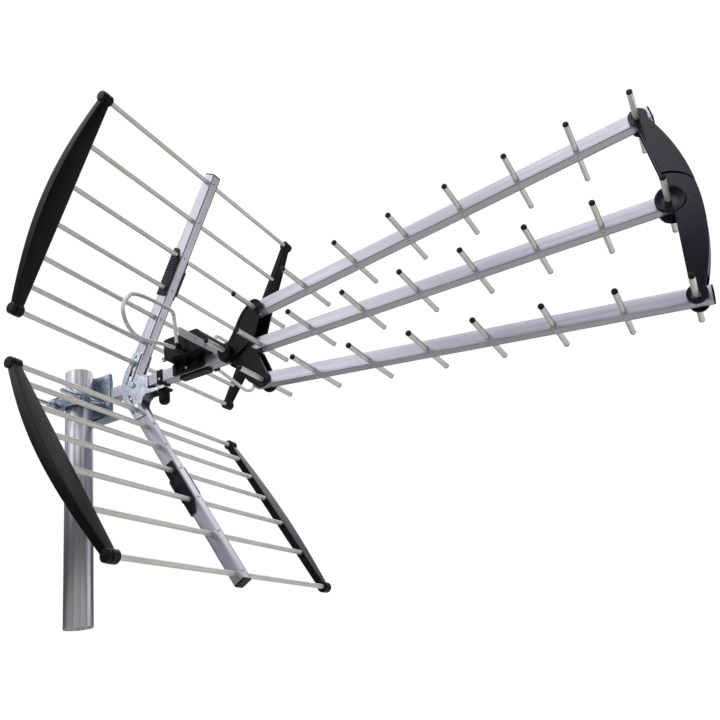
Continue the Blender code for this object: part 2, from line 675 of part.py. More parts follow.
def main():
    clear_scene()
    looks = {
        "rod": material("satin_aluminium", (0.60, 0.59, 0.57), 0.42, 0.9),
        "boom": material("brushed_aluminium", (0.68, 0.67, 0.71), 0.38, 0.9),
        "zinc": material("zinc_plated_steel", (0.58, 0.62, 0.68), 0.28, 1.0),
        "plastic": material("black_plastic", (0.012, 0.012, 0.014), 0.35, 0.0),
        "board": material("circuit_board", (0.03, 0.18, 0.07), 0.5, 0.0),
    }
    mast_stub(looks)
    antenna = frame_at("antenna", None, *ANTENNA)

    boom_with_directors("main", antenna, MAIN_BOOM_REAR, looks, extra=[HUB])
    upper = frame_at("top_boom_frame", antenna, 0.0, 0.0, SPREAD, BOOM_TILT)
    boom_with_directors("top", upper, BOOM_REAR, looks)
    lower = frame_at("bottom_boom_frame", antenna, 0.0, 0.0, -SPREAD, -BOOM_TILT)
    boom_with_directors("bottom", lower, BOOM_REAR, looks)

    rear_arm("rear_arm_upper", antenna, 1, 14.8, looks)
    rear_arm("rear_arm_lower", antenna, -1, 10.8, looks)
    front_arm("front_arm_upper", antenna, 1, looks)
    front_arm("front_arm_lower", antenna, -1, looks)

    reflector_panel("upper_reflector", antenna, 1, (127.0, 216.0), looks)
    reflector_panel("lower_reflector", antenna, -1, (127.0, 226.0), looks)
    reflector_bracket(antenna, looks)
    boom_strap(antenna, looks)
    tension_knob(antenna, looks)

    balun_box(antenna, looks)
    dipole_loop("dipole_right", antenna, 1, looks)
    dipole_loop("dipole_left", antenna, -1, looks)
    launch_strip(antenna, looks)

    mast_bracket(antenna, looks)
    clamp_jaw(antenna, looks)
    for word, offset, turn in (("front", CLAMP_BOLT_OFFSET, 20.0), ("rear", -CLAMP_BOLT_OFFSET, 55.0)):
        clamp_bolt("clamp_bolt_" + word, antenna, offset, looks)
        wing_nut("wing_nut_" + word, antenna, offset, turn, looks)


main()
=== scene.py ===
"""Looks of the three-boom yagi antenna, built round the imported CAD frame.

Lengths below are millimetres in each group's own frame, whose origin and directions are read from the CAD:
  antenna   where the main boom's eighth director crosses it; +Y to the nose, +X to the right, +Z up;
  a boom    the same at its own eighth director, tilted with the boom;
  a panel   the fold axis of a reflector panel, +Y out along its tube, +Z or -Z to its rear.
"""

import json
import math

import bmesh
import bpy
from mathutils import Matrix, Vector


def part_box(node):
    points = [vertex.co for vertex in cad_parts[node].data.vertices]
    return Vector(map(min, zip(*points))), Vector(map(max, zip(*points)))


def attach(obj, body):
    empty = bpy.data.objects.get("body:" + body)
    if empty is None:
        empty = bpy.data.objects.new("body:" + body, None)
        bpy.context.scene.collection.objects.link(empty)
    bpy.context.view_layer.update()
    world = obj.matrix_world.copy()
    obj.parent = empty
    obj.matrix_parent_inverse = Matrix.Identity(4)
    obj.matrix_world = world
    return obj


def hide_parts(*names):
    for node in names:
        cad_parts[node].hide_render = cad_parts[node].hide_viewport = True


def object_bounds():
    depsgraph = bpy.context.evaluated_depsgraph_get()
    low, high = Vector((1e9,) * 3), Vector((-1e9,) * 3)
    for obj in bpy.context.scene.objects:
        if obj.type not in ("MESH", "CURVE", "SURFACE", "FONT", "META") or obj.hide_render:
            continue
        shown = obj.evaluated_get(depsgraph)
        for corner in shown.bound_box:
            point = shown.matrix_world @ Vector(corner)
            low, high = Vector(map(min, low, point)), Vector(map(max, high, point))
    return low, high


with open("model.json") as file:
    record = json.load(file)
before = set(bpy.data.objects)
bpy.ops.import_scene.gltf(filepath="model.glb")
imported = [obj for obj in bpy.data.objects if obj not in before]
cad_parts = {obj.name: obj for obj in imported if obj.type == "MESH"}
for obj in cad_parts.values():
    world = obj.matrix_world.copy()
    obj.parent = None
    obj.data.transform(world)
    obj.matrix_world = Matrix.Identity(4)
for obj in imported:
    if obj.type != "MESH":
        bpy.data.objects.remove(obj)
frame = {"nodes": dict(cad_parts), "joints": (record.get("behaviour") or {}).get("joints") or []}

CAD_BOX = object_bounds()
MM = 0.001

# Sizes that the CAD shares
ROD_RADIUS = 4.0
BOOM_HALF = 10.0
BOOM_WALL = 1.5
BOOM_RISE = 2.0
BOOM_REAR = -18.0
BOOM_FRONT = 655.0
MAIN_BOOM_REAR = -338.0
PANEL_ANGLE = math.radians(60.66)
PANEL_RODS = (0.0, 39.7, 86.8, 141.1, 202.8, 271.9, 348.2)
PANEL_BASE = -24.0
PANEL_JOINT = 161.0
PANEL_TIP = 365.0
END_BAR_X = 257.5
HUB_Y = -56.0
KNOB_Y = -196.5
SPREAD = 62.6
ARM_CHEEK = 3.6
DIRECTORS = 8
DIRECTOR_BARE_HALF = 73.2               # a director without the plugs in its ends
PANEL_ROD_HALF = 262.5
PLUG_FLANGE = 2.6
PIN_REACH = 40.0                        # half the length of a drill through both cheeks of an arm
GAP = 0.3
PIN_HOLE = ROD_RADIUS + GAP
CLAMP_BOLT_Y = 28.0                     # to either side of the mast's axis
CLAMP_BOLT_Z = -15.0
CLAMP_BOLT_HOLE = 4.4
JAW_BACK_X = 70.0
NOSE_TIP_HOLE = 6.1                     # wide, because the folding linkage is opened here

NODES = frame["nodes"]
JOINTS = {joint["name"]: joint for joint in frame["joints"]}


# ---------------------------------------------------------------- frames read from the CAD

def centre(node):
    low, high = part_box(node)
    return (low + high) / 2


def joint_place(name):
    return Matrix.Translation(Vector(JOINTS[name]["pos_m"]))


def boom_place(label):
    """A boom's frame, tilted from its eighth to its first director."""
    start = centre("director_%s_8" % label)
    run = centre("director_%s_1" % label) - start
    return Matrix.Translation(start) @ Matrix.Rotation(math.atan2(run.z, run.y), 4, "X")


ANTENNA = Matrix.Translation(centre("director_main_8"))
DIRECTOR_Y = {
    number: (centre("director_main_%d" % number) - ANTENNA.translation).y / MM
    for number in range(1, DIRECTORS + 1)
}
MAST_X, MAST_Y = (-ANTENNA.translation.x / MM, -ANTENNA.translation.y / MM)
MAST_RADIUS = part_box("mast_stub")[1].x / MM
CLAMP_BOLTS = [(MAST_Y + CLAMP_BOLT_Y, CLAMP_BOLT_Z), (MAST_Y - CLAMP_BOLT_Y, CLAMP_BOLT_Z)]


def panel_place(label, side):
    return joint_place(label + "_fold") @ Matrix.Rotation(PANEL_ANGLE * side, 4, "X")


# ---------------------------------------------------------------- shapes

def arc(middle, radius, start, end, count):
    """count points of a circle from start to end degrees."""
    points = []
    for i in range(count):
        angle = math.radians(start + (end - start) * i / (count - 1))
        points.append((middle[0] + radius * math.cos(angle), middle[1] + radius * math.sin(angle)))
    return points


def circle(radius, count, middle=(0.0, 0.0)):
    return arc(middle, radius, 0.0, 360.0 * (count - 1) / count, count)


def fillet(points, radius, steps=4):
    """The outline with its corners rounded."""
    rounded = []
    for i, point in enumerate(points):
        here = Vector(point)
        before = Vector(points[i - 1]) - here
        after = Vector(points[(i + 1) % len(points)]) - here
        turn = before.angle(after)
        reach = min(radius / max(math.tan(turn / 2), 1e-3), 0.45 * before.length, 0.45 * after.length)
        start = here + before.normalized() * reach
        end = here + after.normalized() * reach
        for step in range(steps + 1):
            t = step / steps
            rounded.append(tuple(start * (1 - t) ** 2 + here * (2 * t * (1 - t)) + end * t ** 2))
    return rounded


def rectangle(low_u, low_v, high_u, high_v):
    return [(low_u, low_v), (high_u, low_v), (high_u, high_v), (low_u, high_v)]


def square(half, middle_v):
    return rectangle(-half, middle_v - half, half, middle_v + half)


def mirrored(outline, side):
    return [(u, v * side) for u, v in outline]


def spot(axis, u, v, along):
    """(y, z) outlines run along X, (x, z) along Y and (x, y) along Z."""
    if axis == "X":
        return Vector((along, u, v)) * MM
    if axis == "Y":
        return Vector((u, along, v)) * MM
    return Vector((u, v, along)) * MM


def skin(bm, rings, closed_ends=True):
    """Joins rings of the same number of points into a closed surface."""
    loops = [[bm.verts.new(point) for point in ring] for ring in rings]
    for a, b in zip(loops, loops[1:]):
        for i in range(len(a)):
            j = (i + 1) % len(a)
            bm.faces.new((a[i], a[j], b[j], b[i]))
    if closed_ends:
        bm.faces.new(loops[0])
        bm.faces.new(loops[-1])
    else:
        for i in range(len(loops[0])):
            j = (i + 1) % len(loops[0])
            bm.faces.new((loops[-1][i], loops[-1][j], loops[0][j], loops[0][i]))


def prism(bm, outline, axis, low, high):
    skin(bm, [[spot(axis, u, v, along) for u, v in outline] for along in (low, high)])


def box(bm, low, high, corner=0.0):
    outline = rectangle(low[0], low[1], high[0], high[1])
    prism(bm, fillet(outline, corner) if corner else outline, "Z", low[2], high[2])


def tube(bm, outer, inner, axis, low, high):
    """A hollow length: out along the outer outline and back along the inner one."""
    rings = [
        [spot(axis, u, v, along) for u, v in outline]
        for outline, along in ((outer, low), (outer, high), (inner, high), (inner, low))
    ]
    skin(bm, rings, closed_ends=False)


def turned(bm, profile, middle, axis="Z", sides=28):
    """Turns (radius, height) pairs about an axis through middle. A radius of 0 closes the end."""
    turn = {
        "Z": Matrix.Identity(4),
        "X": Matrix.Rotation(math.pi / 2, 4, "Y"),
        "-X": Matrix.Rotation(-math.pi / 2, 4, "Y"),
        "Y": Matrix.Rotation(-math.pi / 2, 4, "X"),
        "-Y": Matrix.Rotation(math.pi / 2, 4, "X"),
        "-Z": Matrix.Rotation(math.pi, 4, "X"),
    }[axis]
    place = Matrix.Translation(Vector(middle) * MM) @ turn
    rings = []
    for radius, height in profile:
        ring = [place @ (Vector((u, v, height)) * MM) for u, v in circle(max(radius, 0.02), sides)]
        rings.append(ring)
    skin(bm, rings)


def bar(bm, start, end, radius, sides=24):
    """A plain round bar between two points."""
    start = Vector(start) * MM
    run = Vector(end) * MM - start
    turn = run.to_track_quat("Z", "Y").to_matrix().to_4x4()
    place = Matrix.Translation(start) @ turn
    rings = [
        [place @ Vector((u * MM, v * MM, share * run.length)) for u, v in circle(radius, sides)]
        for share in (0.0, 1.0)
    ]
    skin(bm, rings)


def side_plate(bm, outline, side, near, far):
    """A plate square to X, on one side of the middle."""
    prism(bm, outline, "X", *sorted((side * near, side * far)))


def drills(spots, radius, near, far, sides=24):
    """Round bars along X, one through each (y, z) spot."""
    bm = bmesh.new()
    for y, z in spots:
        bar(bm, (near, y, z), (far, y, z), radius, sides)
    return bm


def shape(adder, *details):
    """A new bmesh holding one form."""
    bm = bmesh.new()
    adder(bm, *details)
    return bm


def slab(*details):
    return shape(prism, *details)


def side_slab(*details):
    return shape(side_plate, *details)


def lathe(*details):
    return shape(turned, *details)


# ---------------------------------------------------------------- pieces

def mesh_of(name, bm):
    """A mesh with the bmesh's form. The bmesh is used up."""
    bmesh.ops.recalc_face_normals(bm, faces=bm.faces)
    mesh = bpy.data.meshes.new(name)
    bm.to_mesh(mesh)
    bm.free()
    return mesh


def linked(name, data):
    obj = bpy.data.objects.new(name, data)
    bpy.context.scene.collection.objects.link(obj)
    return obj


def piece(name, bm, place, look, body, slot, replaces=(), bevel=0.0, segments=2, sharp=38.0):
    """Turns a bmesh into a finished piece: placed, shaded, given its material, and riding on its body."""
    obj = linked(name, mesh_of(name, bm))
    obj.matrix_world = place
    mesh = obj.data
    mesh.materials.append(look)
    mesh.shade_smooth()
    if bevel:
        step = obj.modifiers.new("edges", "BEVEL")
        step.width = bevel * MM
        step.segments = segments
        step.limit_method = "ANGLE"
        step.angle_limit = math.radians(sharp)
        step.harden_normals = True
        step.use_clamp_overlap = True
    else:
        mesh.set_sharp_from_angle(angle=math.radians(sharp))
    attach(obj, body)
    if replaces:
        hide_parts(*replaces)


def on_antenna(name, bm, look, slot, replaces=(), **edges):
    """A piece in the antenna's own frame that rides on the antenna."""
    piece(name, bm, ANTENNA, look, "antenna", slot, replaces, **edges)


def carved(bm, operation, *tools):
    """The bmesh after each tool shape is joined to it or cut out of it. The tools are used up."""
    work = linked("carving", mesh_of("carving", bm))
    helpers = []
    for tool in tools:
        helper = linked("tool", mesh_of("tool", tool))
        helpers.append(helper)
        step = work.modifiers.new("carve", "BOOLEAN")
        step.operation = operation
        step.solver = "EXACT"
        step.use_self = operation == "UNION"
        step.object = helper
    bpy.context.view_layer.update()
    graph = bpy.context.evaluated_depsgraph_get()
    result = bmesh.new()
    result.from_mesh(work.evaluated_get(graph).to_mesh())
    for obj in [work, *helpers]:
        data = obj.data
        bpy.data.objects.remove(obj, do_unlink=True)
        bpy.data.meshes.remove(data)
    return result


def cut(bm, *tools):
    return carved(bm, "DIFFERENCE", *tools)


def join(bm, *tools):
    return carved(bm, "UNION", *tools)


def screw_head(bm, middle, axis, radius=3.0, height=1.8):
    """A pan head: a low dome on a short rim."""
    profile = [(0.0, -0.6), (radius, -0.6), (radius, height * 0.35)]
    for angle in (25, 45, 65, 80):
        lean = math.radians(angle)
        profile.append((radius * math.cos(lean) ** 0.8, height * (0.35 + 0.65 * math.sin(lean))))
    profile.append((0.0, height))
    turned(bm, profile, middle, axis, 20)


# ---------------------------------------------------------------- materials

def set_stops(ramp, stops):
    while len(ramp.elements) < len(stops):
        ramp.elements.new(0.5)
    for element, (position, colour) in zip(ramp.elements, stops):
        element.position = position
        element.color = (*colour, 1.0)


class Look:
    """A Principled material with helpers for its nodes."""

    def __init__(self, name, metallic, specular=0.5):
        self.material = bpy.data.materials.new(name)
        self.material.use_nodes = True
        self.tree = self.material.node_tree
        self.shader = self.tree.nodes["Principled BSDF"]
        self.shader.inputs["Metallic"].default_value = metallic
        self.shader.inputs["Specular IOR Level"].default_value = specular
        self.coords = self.tree.nodes.new("ShaderNodeTexCoord").outputs["Object"]

    def link(self, start, end):
        self.tree.links.new(start, end)

    def node(self, kind, **values):
        node = self.tree.nodes.new("ShaderNode" + kind)
        for name, value in values.items():
            node.inputs[name].default_value = value
        return node

    def stretched(self, scale):
        """Object coordinates scaled on each axis: a small number draws the pattern out along that axis."""
        node = self.node("Mapping", Scale=scale)
        self.link(self.coords, node.inputs["Vector"])
        return node.outputs["Vector"]

    def noise(self, scale, detail=4.0, roughness=0.55, distortion=0.0):
        node = self.node("TexNoise", Scale=1.0, Detail=detail, Roughness=roughness, Distortion=distortion)
        self.link(self.stretched(scale), node.inputs["Vector"])
        return node.outputs["Fac"]

    def cells(self, scale):
        node = self.node("TexVoronoi", Scale=1.0)
        self.link(self.stretched(scale), node.inputs["Vector"])
        return node.outputs["Color"]

    def ramp(self, value, *stops):
        node = self.node("ValToRGB")
        set_stops(node.color_ramp, stops)
        self.link(value, node.inputs["Fac"])
        return node.outputs["Color"]

    def grey(self, value, *stops):
        return self.ramp(value, *[(position, (level, level, level)) for position, level in stops])

    def mix(self, kind, factor, a, b):
        node = self.node("Mix")
        node.data_type = "RGBA"
        node.blend_type = kind
        if isinstance(factor, float):
            node.inputs["Factor"].default_value = factor
        else:
            self.link(factor, node.inputs["Factor"])
        for socket, value in ((node.inputs["A"], a), (node.inputs["B"], b)):
            if isinstance(value, tuple):
                socket.default_value = (*value, 1.0)
            else:
                self.link(value, socket)
        return node.outputs["Result"]

    def bump(self, height, strength, distance):
        node = self.node("Bump", Strength=strength, Distance=distance * MM)
        self.link(height, node.inputs["Height"])
        self.link(node.outputs["Normal"], self.shader.inputs["Normal"])

    def finish(self, colour, roughness):
        self.link(colour, self.shader.inputs["Base Color"])
        self.link(roughness, self.shader.inputs["Roughness"])
        return self.material


def drawn_rod(name, dark, light):
    """Round drawn aluminium, with fine lines along X and a few duller patches."""
    look = Look(name, 0.5)
    lines = look.noise((6.0, 420.0, 420.0), 3.0, 0.5)
    patches = look.noise((22.0, 60.0, 60.0), 3.0)
    colour = look.ramp(lines, (0.3, dark), (0.7, light))
    tint = look.ramp(patches, (0.35, (0.86, 0.85, 0.83)), (0.65, (1.0, 1.0, 1.0)))
    colour = look.mix("MULTIPLY", 1.0, colour, tint)
    look.bump(lines, 0.06, 0.05)
    return look.finish(colour, look.grey(patches, (0.3, 0.34), (0.7, 0.46)))


def brushed_tube(name, dark, light):
    """Extruded square tube, with die lines along Y and faint smudges."""
    look = Look(name, 0.88)
    lines = look.noise((520.0, 5.0, 520.0), 6.0, 0.65)
    smudge = look.noise((38.0, 14.0, 38.0), 4.0, 0.6, 0.4)
    colour = look.ramp(lines, (0.25, dark), (0.75, light))
    tint = look.ramp(smudge, (0.3, (0.9, 0.89, 0.9)), (0.7, (1.0, 1.0, 1.0)))
    colour = look.mix("MULTIPLY", 1.0, colour, tint)
    look.bump(lines, 0.22, 0.05)
    return look.finish(colour, look.grey(smudge, (0.3, 0.30), (0.7, 0.44)))


def moulded(name, dark, light, smooth, rough, grain=0.35, specular=0.5):
    """Moulded plastic: a fine eroded grain, slow colour drift, and dusty scuffs."""
    look = Look(name, 0.0, specular)
    fine = look.noise((1500.0, 1500.0, 1500.0), 2.0)
    drift = look.noise((26.0, 26.0, 26.0), 4.0, 0.6, 0.6)
    scuff = look.noise((60.0, 240.0, 240.0), 6.0, 0.75)
    colour = look.ramp(drift, (0.3, dark), (0.72, light))
    worn = tuple(min(1.0, channel * 2.2 + 0.01) for channel in light)
    mask = look.grey(scuff, (0.6, 0.0), (0.78, 0.35))
    colour = look.mix("MIX", mask, colour, worn)
    look.bump(fine, grain, 0.06)
    return look.finish(colour, look.grey(drift, (0.3, smooth), (0.75, rough)))


def zinc(name, dark, light, smooth=0.2, rough=0.42, spangle=90.0):
    """Bright zinc plating: crystal spangle, fine pitting and bluish cloudiness."""
    look = Look(name, 1.0)
    crystals = look.cells((spangle, spangle, spangle))
    cloud = look.noise((70.0, 70.0, 70.0), 5.0, 0.65, 0.8)
    pits = look.noise((900.0, 900.0, 900.0), 3.0)
    colour = look.ramp(cloud, (0.28, dark), (0.62, light))
    shade = look.grey(crystals, (0.0, 0.86), (1.0, 1.0))
    colour = look.mix("MULTIPLY", 1.0, colour, shade)
    look.bump(pits, 0.3, 0.06)
    return look.finish(colour, look.grey(cloud, (0.3, rough), (0.7, smooth)))


def galvanised(name):
    """Galvanised mast: long streaks down the tube, from lilac to greenish grey, over fine lines."""
    look = Look(name, 0.85)
    streaks = look.noise((130.0, 130.0, 2.2), 6.0, 0.6, 0.3)
    fine = look.noise((700.0, 700.0, 9.0), 3.0)
    colour = look.ramp(
        streaks, (0.30, (0.22, 0.24, 0.26)), (0.44, (0.44, 0.43, 0.50)),
        (0.54, (0.62, 0.64, 0.64)), (0.66, (0.34, 0.38, 0.36)),
    )
    colour = look.mix("MULTIPLY", 1.0, colour, look.grey(fine, (0.2, 0.86), (0.8, 1.0)))
    look.bump(fine, 0.25, 0.06)
    return look.finish(colour, look.grey(streaks, (0.3, 0.42), (0.65, 0.26)))


def circuit(name):
    look = Look(name, 0.0)
    tracks = look.cells((160.0, 160.0, 20.0))
    mask = look.grey(tracks, (0.45, 0.0), (0.5, 1.0))
    colour = look.mix("MIX", mask, (0.01, 0.12, 0.05), (0.02, 0.20, 0.08))
    return look.finish(colour, look.grey(tracks, (0.0, 0.35), (1.0, 0.5)))


ROD = drawn_rod("drawn_aluminium_rod", (0.72, 0.71, 0.67), (0.92, 0.91, 0.87))
WIRE = drawn_rod("drawn_aluminium_dipole", (0.66, 0.66, 0.68), (0.88, 0.88, 0.90))
TUBE = brushed_tube("brushed_aluminium_tube", (0.46, 0.45, 0.50), (0.72, 0.71, 0.77))
STRIP = brushed_tube("rolled_aluminium_strip", (0.50, 0.48, 0.46), (0.60, 0.58, 0.56))
MAST = galvanised("galvanised_mast")
ZINC = zinc("pressed_zinc_plate", (0.34, 0.40, 0.46), (0.82, 0.85, 0.88), 0.10, 0.30)
STEEL = zinc("clamp_zinc_plate", (0.16, 0.21, 0.28), (0.50, 0.56, 0.64), 0.18, 0.36, 60.0)
BOLT = zinc("zinc_fastener", (0.34, 0.38, 0.48), (0.74, 0.78, 0.86), 0.16, 0.34, 300.0)
BLACK = moulded("black_moulding", (0.005, 0.005, 0.007), (0.009, 0.008, 0.012), 0.26, 0.42, 0.35, 0.18)
GLOSS = moulded("glossy_black_moulding", (0.004, 0.004, 0.009), (0.008, 0.007, 0.016), 0.12, 0.22, 0.10, 0.30)
CAP = moulded("cap_plastic", (0.005, 0.004, 0.005), (0.010, 0.008, 0.010), 0.25, 0.4, 0.15, 0.2)
BAR = moulded("end_bar_plastic", (0.005, 0.004, 0.004), (0.010, 0.009, 0.008), 0.26, 0.38, 0.4, 0.16)
CLIP = moulded("clip_plastic", (0.008, 0.009, 0.014), (0.016, 0.017, 0.026), 0.30, 0.46, 0.35, 0.25)
BOARD = circuit("circuit_board")


# ---------------------------------------------------------------- directors and booms

def rod_mesh(half):
    """A bare rod along X, reaching half to either side."""
    return lathe([(0.0, -half), (ROD_RADIUS, -half), (ROD_RADIUS, half), (0.0, half)], (0, 0, 0), "X", 28)


def cap_mesh():
    """The black plugs in a rod's two ends, each a thin collar with a slightly domed face."""
    profile = [
        (0.0, 72.9), (4.12, 72.9), (4.2, 73.1), (4.2, 74.3),
        (3.9, 74.7), (3.0, 74.9), (1.6, 74.97), (0.0, 74.99),
    ]
    bm = bmesh.new()
    for axis in ("X", "-X"):
        turned(bm, profile, (0, 0, 0), axis, 28)
    return bm


def directors():
    for label, body, extra in (("top", "top_boom", 0), ("main", "antenna", 1), ("bottom", "bottom_boom", 0)):
        for number in range(1, DIRECTORS + extra + 1):
            node = "director_%s_%d" % (label, number)
            place = Matrix.Translation(centre(node))
            tail = "%s_%d" % (label, number)
            piece("rod_" + tail, rod_mesh(DIRECTOR_BARE_HALF), place, ROD, body, "rod", [node])
            piece("cap_" + tail, cap_mesh(), place, CAP, body, "plastic")


def plug(name, place, middle_z, y, forward, body):
    """A push-in end plug: a thin square flange with a raised pad, and a square stem that goes inside the
    tube.
    """
    inner = BOOM_HALF - BOOM_WALL - GAP
    reach = BOOM_HALF - 0.05
    flange = fillet(square(reach, middle_z), 2.0)
    pad = fillet(square(7.0, middle_z), 2.0)
    stem = square(inner, middle_z)
    ends = sorted((y - forward * PLUG_FLANGE, y - forward * 0.4))
    bm = slab(flange, "Y", *ends)
    bm = join(
        bm,
        slab(pad, "Y", *sorted((y - forward * 1.0, y))),
        slab(stem, "Y", *sorted((y - forward * 14.0, y - forward * 2.0))),
    )
    piece(name, bm, place, BLACK, body, "plastic", bevel=0.5)


def square_tube(name, place, middle_z, low, high, holes, body, replaces, front=-1):
    """Square tube with a die groove beside each corner of its front or under face, drilled for its rods."""
    outer = fillet(square(BOOM_HALF, middle_z), 0.8)
    inside = BOOM_HALF - BOOM_WALL
    inner = fillet(square(inside, middle_z), 0.4)
    bm = shape(tube, outer, inner, "Y", low, high)
    grooves = bmesh.new()
    face = middle_z + front * BOOM_HALF
    levels = sorted((face - front * 0.9, face + front))
    for x in (-8.5, 8.5):
        box(grooves, (x - 0.7, low - 1, levels[0]), (x + 0.7, high + 1, levels[1]))
    bm = cut(bm, drills([(s, 0) for s in holes], ROD_RADIUS + 0.28, -20, 20), grooves)
    piece(name, bm, place, TUBE, body, "boom", replaces, sharp=30.0)


def rivets(name, place, spots, axis, body):
    """One fastener under each crossing of rod and tube."""
    bm = bmesh.new()
    for middle in spots:
        screw_head(bm, middle, axis, 2.6, 1.5)
    piece(name, bm, place, BOLT, body, "zinc")


def booms():
    under = BOOM_RISE - BOOM_HALF
    along = [DIRECTOR_Y[number] for number in range(1, DIRECTORS + 1)]
    for label, body, place, rear, holes in (
        ("top", "top_boom", boom_place("top"), BOOM_REAR, along),
        ("bottom", "bottom_boom", boom_place("bottom"), BOOM_REAR, along),
        ("main", "antenna", ANTENNA, MAIN_BOOM_REAR, along + [HUB_Y]),
    ):
        name = label + "_boom"
        low, high = rear + PLUG_FLANGE, BOOM_FRONT - PLUG_FLANGE
        square_tube(name + "_tube", place, BOOM_RISE, low, high, holes, body, [name])
        plug(name + "_front_plug", place, BOOM_RISE, BOOM_FRONT, 1, body)
        plug(name + "_rear_plug", place, BOOM_RISE, rear, -1, body)
        rivets(name + "_rivets", place, [(0, y, under) for y in along], "-Z", body)


# ---------------------------------------------------------------- rear spreader

def rear_arm(word, side, inner_x):
    """One arm of the rear spreader: two cheeks with a raised rim, a web, hub drums and pivot bosses."""
    name = "rear_arm_" + word
    place = joint_place(name + "_fold")
    tip = (-HUB_Y, SPREAD)
    outer_x = inner_x + ARM_CHEEK
    outline = arc(tip, 13.8, -35.0, 150.0, 24) + [(33.0, 60.0), (25.0, 49.0), (18.5, 38.0), (10.0, 25.0)]
    outline += arc((0.0, 0.0), 17.0, 80.0, 310.0, 28)
    outline += fillet([(30.0, -5.0), (50.0, 8.0), (60.0, 30.0)], 6.0)[5:10]
    inset = arc(tip, 11.3, -35.0, 150.0, 20) + [(35.0, 57.0), (28.0, 47.0), (22.0, 36.0), (14.0, 22.0)]
    inset += arc((0.0, 0.0), 19.5, 50.0, -8.0, 12) + [(47.0, 10.0)]
    bm = bmesh.new()
    pockets = bmesh.new()
    for x in (-1, 1):
        side_plate(bm, mirrored(outline, side), x, inner_x, outer_x)
        side_plate(pockets, mirrored(inset, side), x, outer_x - 1.1, outer_x + 1.0)
    bm = cut(bm, pockets)
    web = [(18.5, 38.0), (36.0, 59.0), (39.0, 57.0), (21.5, 36.0)]
    web = fillet([(y + 0.4, z) for y, z in web], 0.8, 2)
    tip = (tip[0], tip[1] * side)
    extras = [slab(mirrored(web, side), "X", -inner_x - 1, inner_x + 1)]
    if side > 0:
        drum = [
            (0.0, outer_x - 1.0), (11.8, outer_x - 1.0), (11.8, 27.4), (11.0, 28.7), (9.4, 29.0), (6.4, 29.0),
            (5.8, 28.4), (0.0, 28.4),
        ]
        boss = [(0.0, 10.8), (9.5, 10.8), (9.5, inner_x + 1.0), (0.0, inner_x + 1.0)]
        for axis in ("X", "-X"):
            extras.append(lathe(drum, (0, 0, 0), axis, 48))
            extras.append(lathe(boss, (0, *tip), axis, 32))
    bm = join(bm, *extras)
    bm = cut(bm, drills([(0, 0), tip], PIN_HOLE, -PIN_REACH, PIN_REACH))
    piece(name + "_moulding", bm, place, BLACK, name, "plastic", [name], bevel=0.7, segments=3, sharp=40.0)


# ---------------------------------------------------------------- nose arc

ARC_MIDDLE = (-260.8, 0.0)
ARC_RADIUS = 299.95


def arc_angle(z):
    return math.degrees(math.asin(z / ARC_RADIUS))


def nose_outline(tip, start_z, foot):
    """A front arm on its upper side: outer arc, round tip, inner edge, then its foot."""
    outline = arc(ARC_MIDDLE, ARC_RADIUS, arc_angle(start_z), arc_angle(124.0), 26)
    outline += arc((tip[0] + 2.0, tip[1] - 0.5), 13.2, -32.0, 250.0, 34)
    return outline + [(-7.6, 121.0), (-7.0, 116.0)] + foot


def front_arm(word, side):
    """One arm of the nose arc: two cheeks and a web, with a shoulder or a round ear at the pivot."""
    name = "front_arm_" + word
    place = joint_place(name + "_fold")
    label = "top" if side > 0 else "bottom"
    offset = (centre("director_%s_1" % label) - place.translation) / MM
    tip = (offset.y, abs(offset.z))
    turn = arc((0.0, 0.0), 17.0, 80.0, 300.0, 30)
    bm = bmesh.new()
    extras = []
    if side > 0:
        shoulder = arc((0.0, 0.0), 42.0, 86.0, 26.0, 18)
        for x in (-1, 1):
            side_plate(bm, nose_outline(tip, 7.0, turn), x, 10.8, 13.2)
            layer = nose_outline(tip, 17.0, shoulder)
            extras.append(side_slab(layer, x, 12.9, 16.0))
        web_low = 11.0
    else:
        boss = [(0.0, 10.8), (9.5, 10.8), (9.5, 14.5), (0.0, 14.5)]
        ear = [(0.0, 15.4), (20.0, 15.4), (20.0, 16.2), (19.2, 16.9), (17.4, 17.2), (16.6, 16.8), (0.0, 16.8)]
        for x, axis in ((-1, "-X"), (1, "X")):
            side_plate(bm, mirrored(nose_outline(tip, -4.0, turn), side), x, 13.6, 16.0)
            extras.append(lathe(boss, (0, tip[0], -tip[1]), axis, 32))
            extras.append(lathe(ear, (0, 3.0, 0), axis, 64))
        web_low = -4.0
    web = arc(ARC_MIDDLE, ARC_RADIUS - 0.3, arc_angle(web_low), arc_angle(112.0), 26)
    web += arc(ARC_MIDDLE, ARC_RADIUS - 3.4, arc_angle(112.0), arc_angle(web_low), 26)
    extras.append(slab(mirrored(web, side), "X", -14.2, 14.2))
    bm = join(bm, *extras)
    # A shallow sunk field inside the rim of each cheek.
    pockets = bmesh.new()
    low, high = (24.0, 118.0) if side > 0 else (8.0, 118.0)
    field = arc(ARC_MIDDLE, ARC_RADIUS - 5.0, arc_angle(low), arc_angle(high), 26)
    field += arc(ARC_MIDDLE, ARC_RADIUS - 9.0, arc_angle(high), arc_angle(low), 26)
    for x in (-1, 1):
        side_plate(pockets, mirrored(field, side), x, 15.4, 17.0)
    bores = bmesh.new()
    bar(bores, (-PIN_REACH, 0, 0), (PIN_REACH, 0, 0), PIN_HOLE)
    tip = (tip[0], tip[1] * side)
    bar(bores, (-PIN_REACH, *tip), (PIN_REACH, *tip), NOSE_TIP_HOLE, 32)
    bm = cut(cut(bm, pockets), bores)
    piece(name + "_moulding", bm, place, GLOSS, name, "plastic", [name], bevel=0.6, segments=3, sharp=40.0)


# ---------------------------------------------------------------- reflector

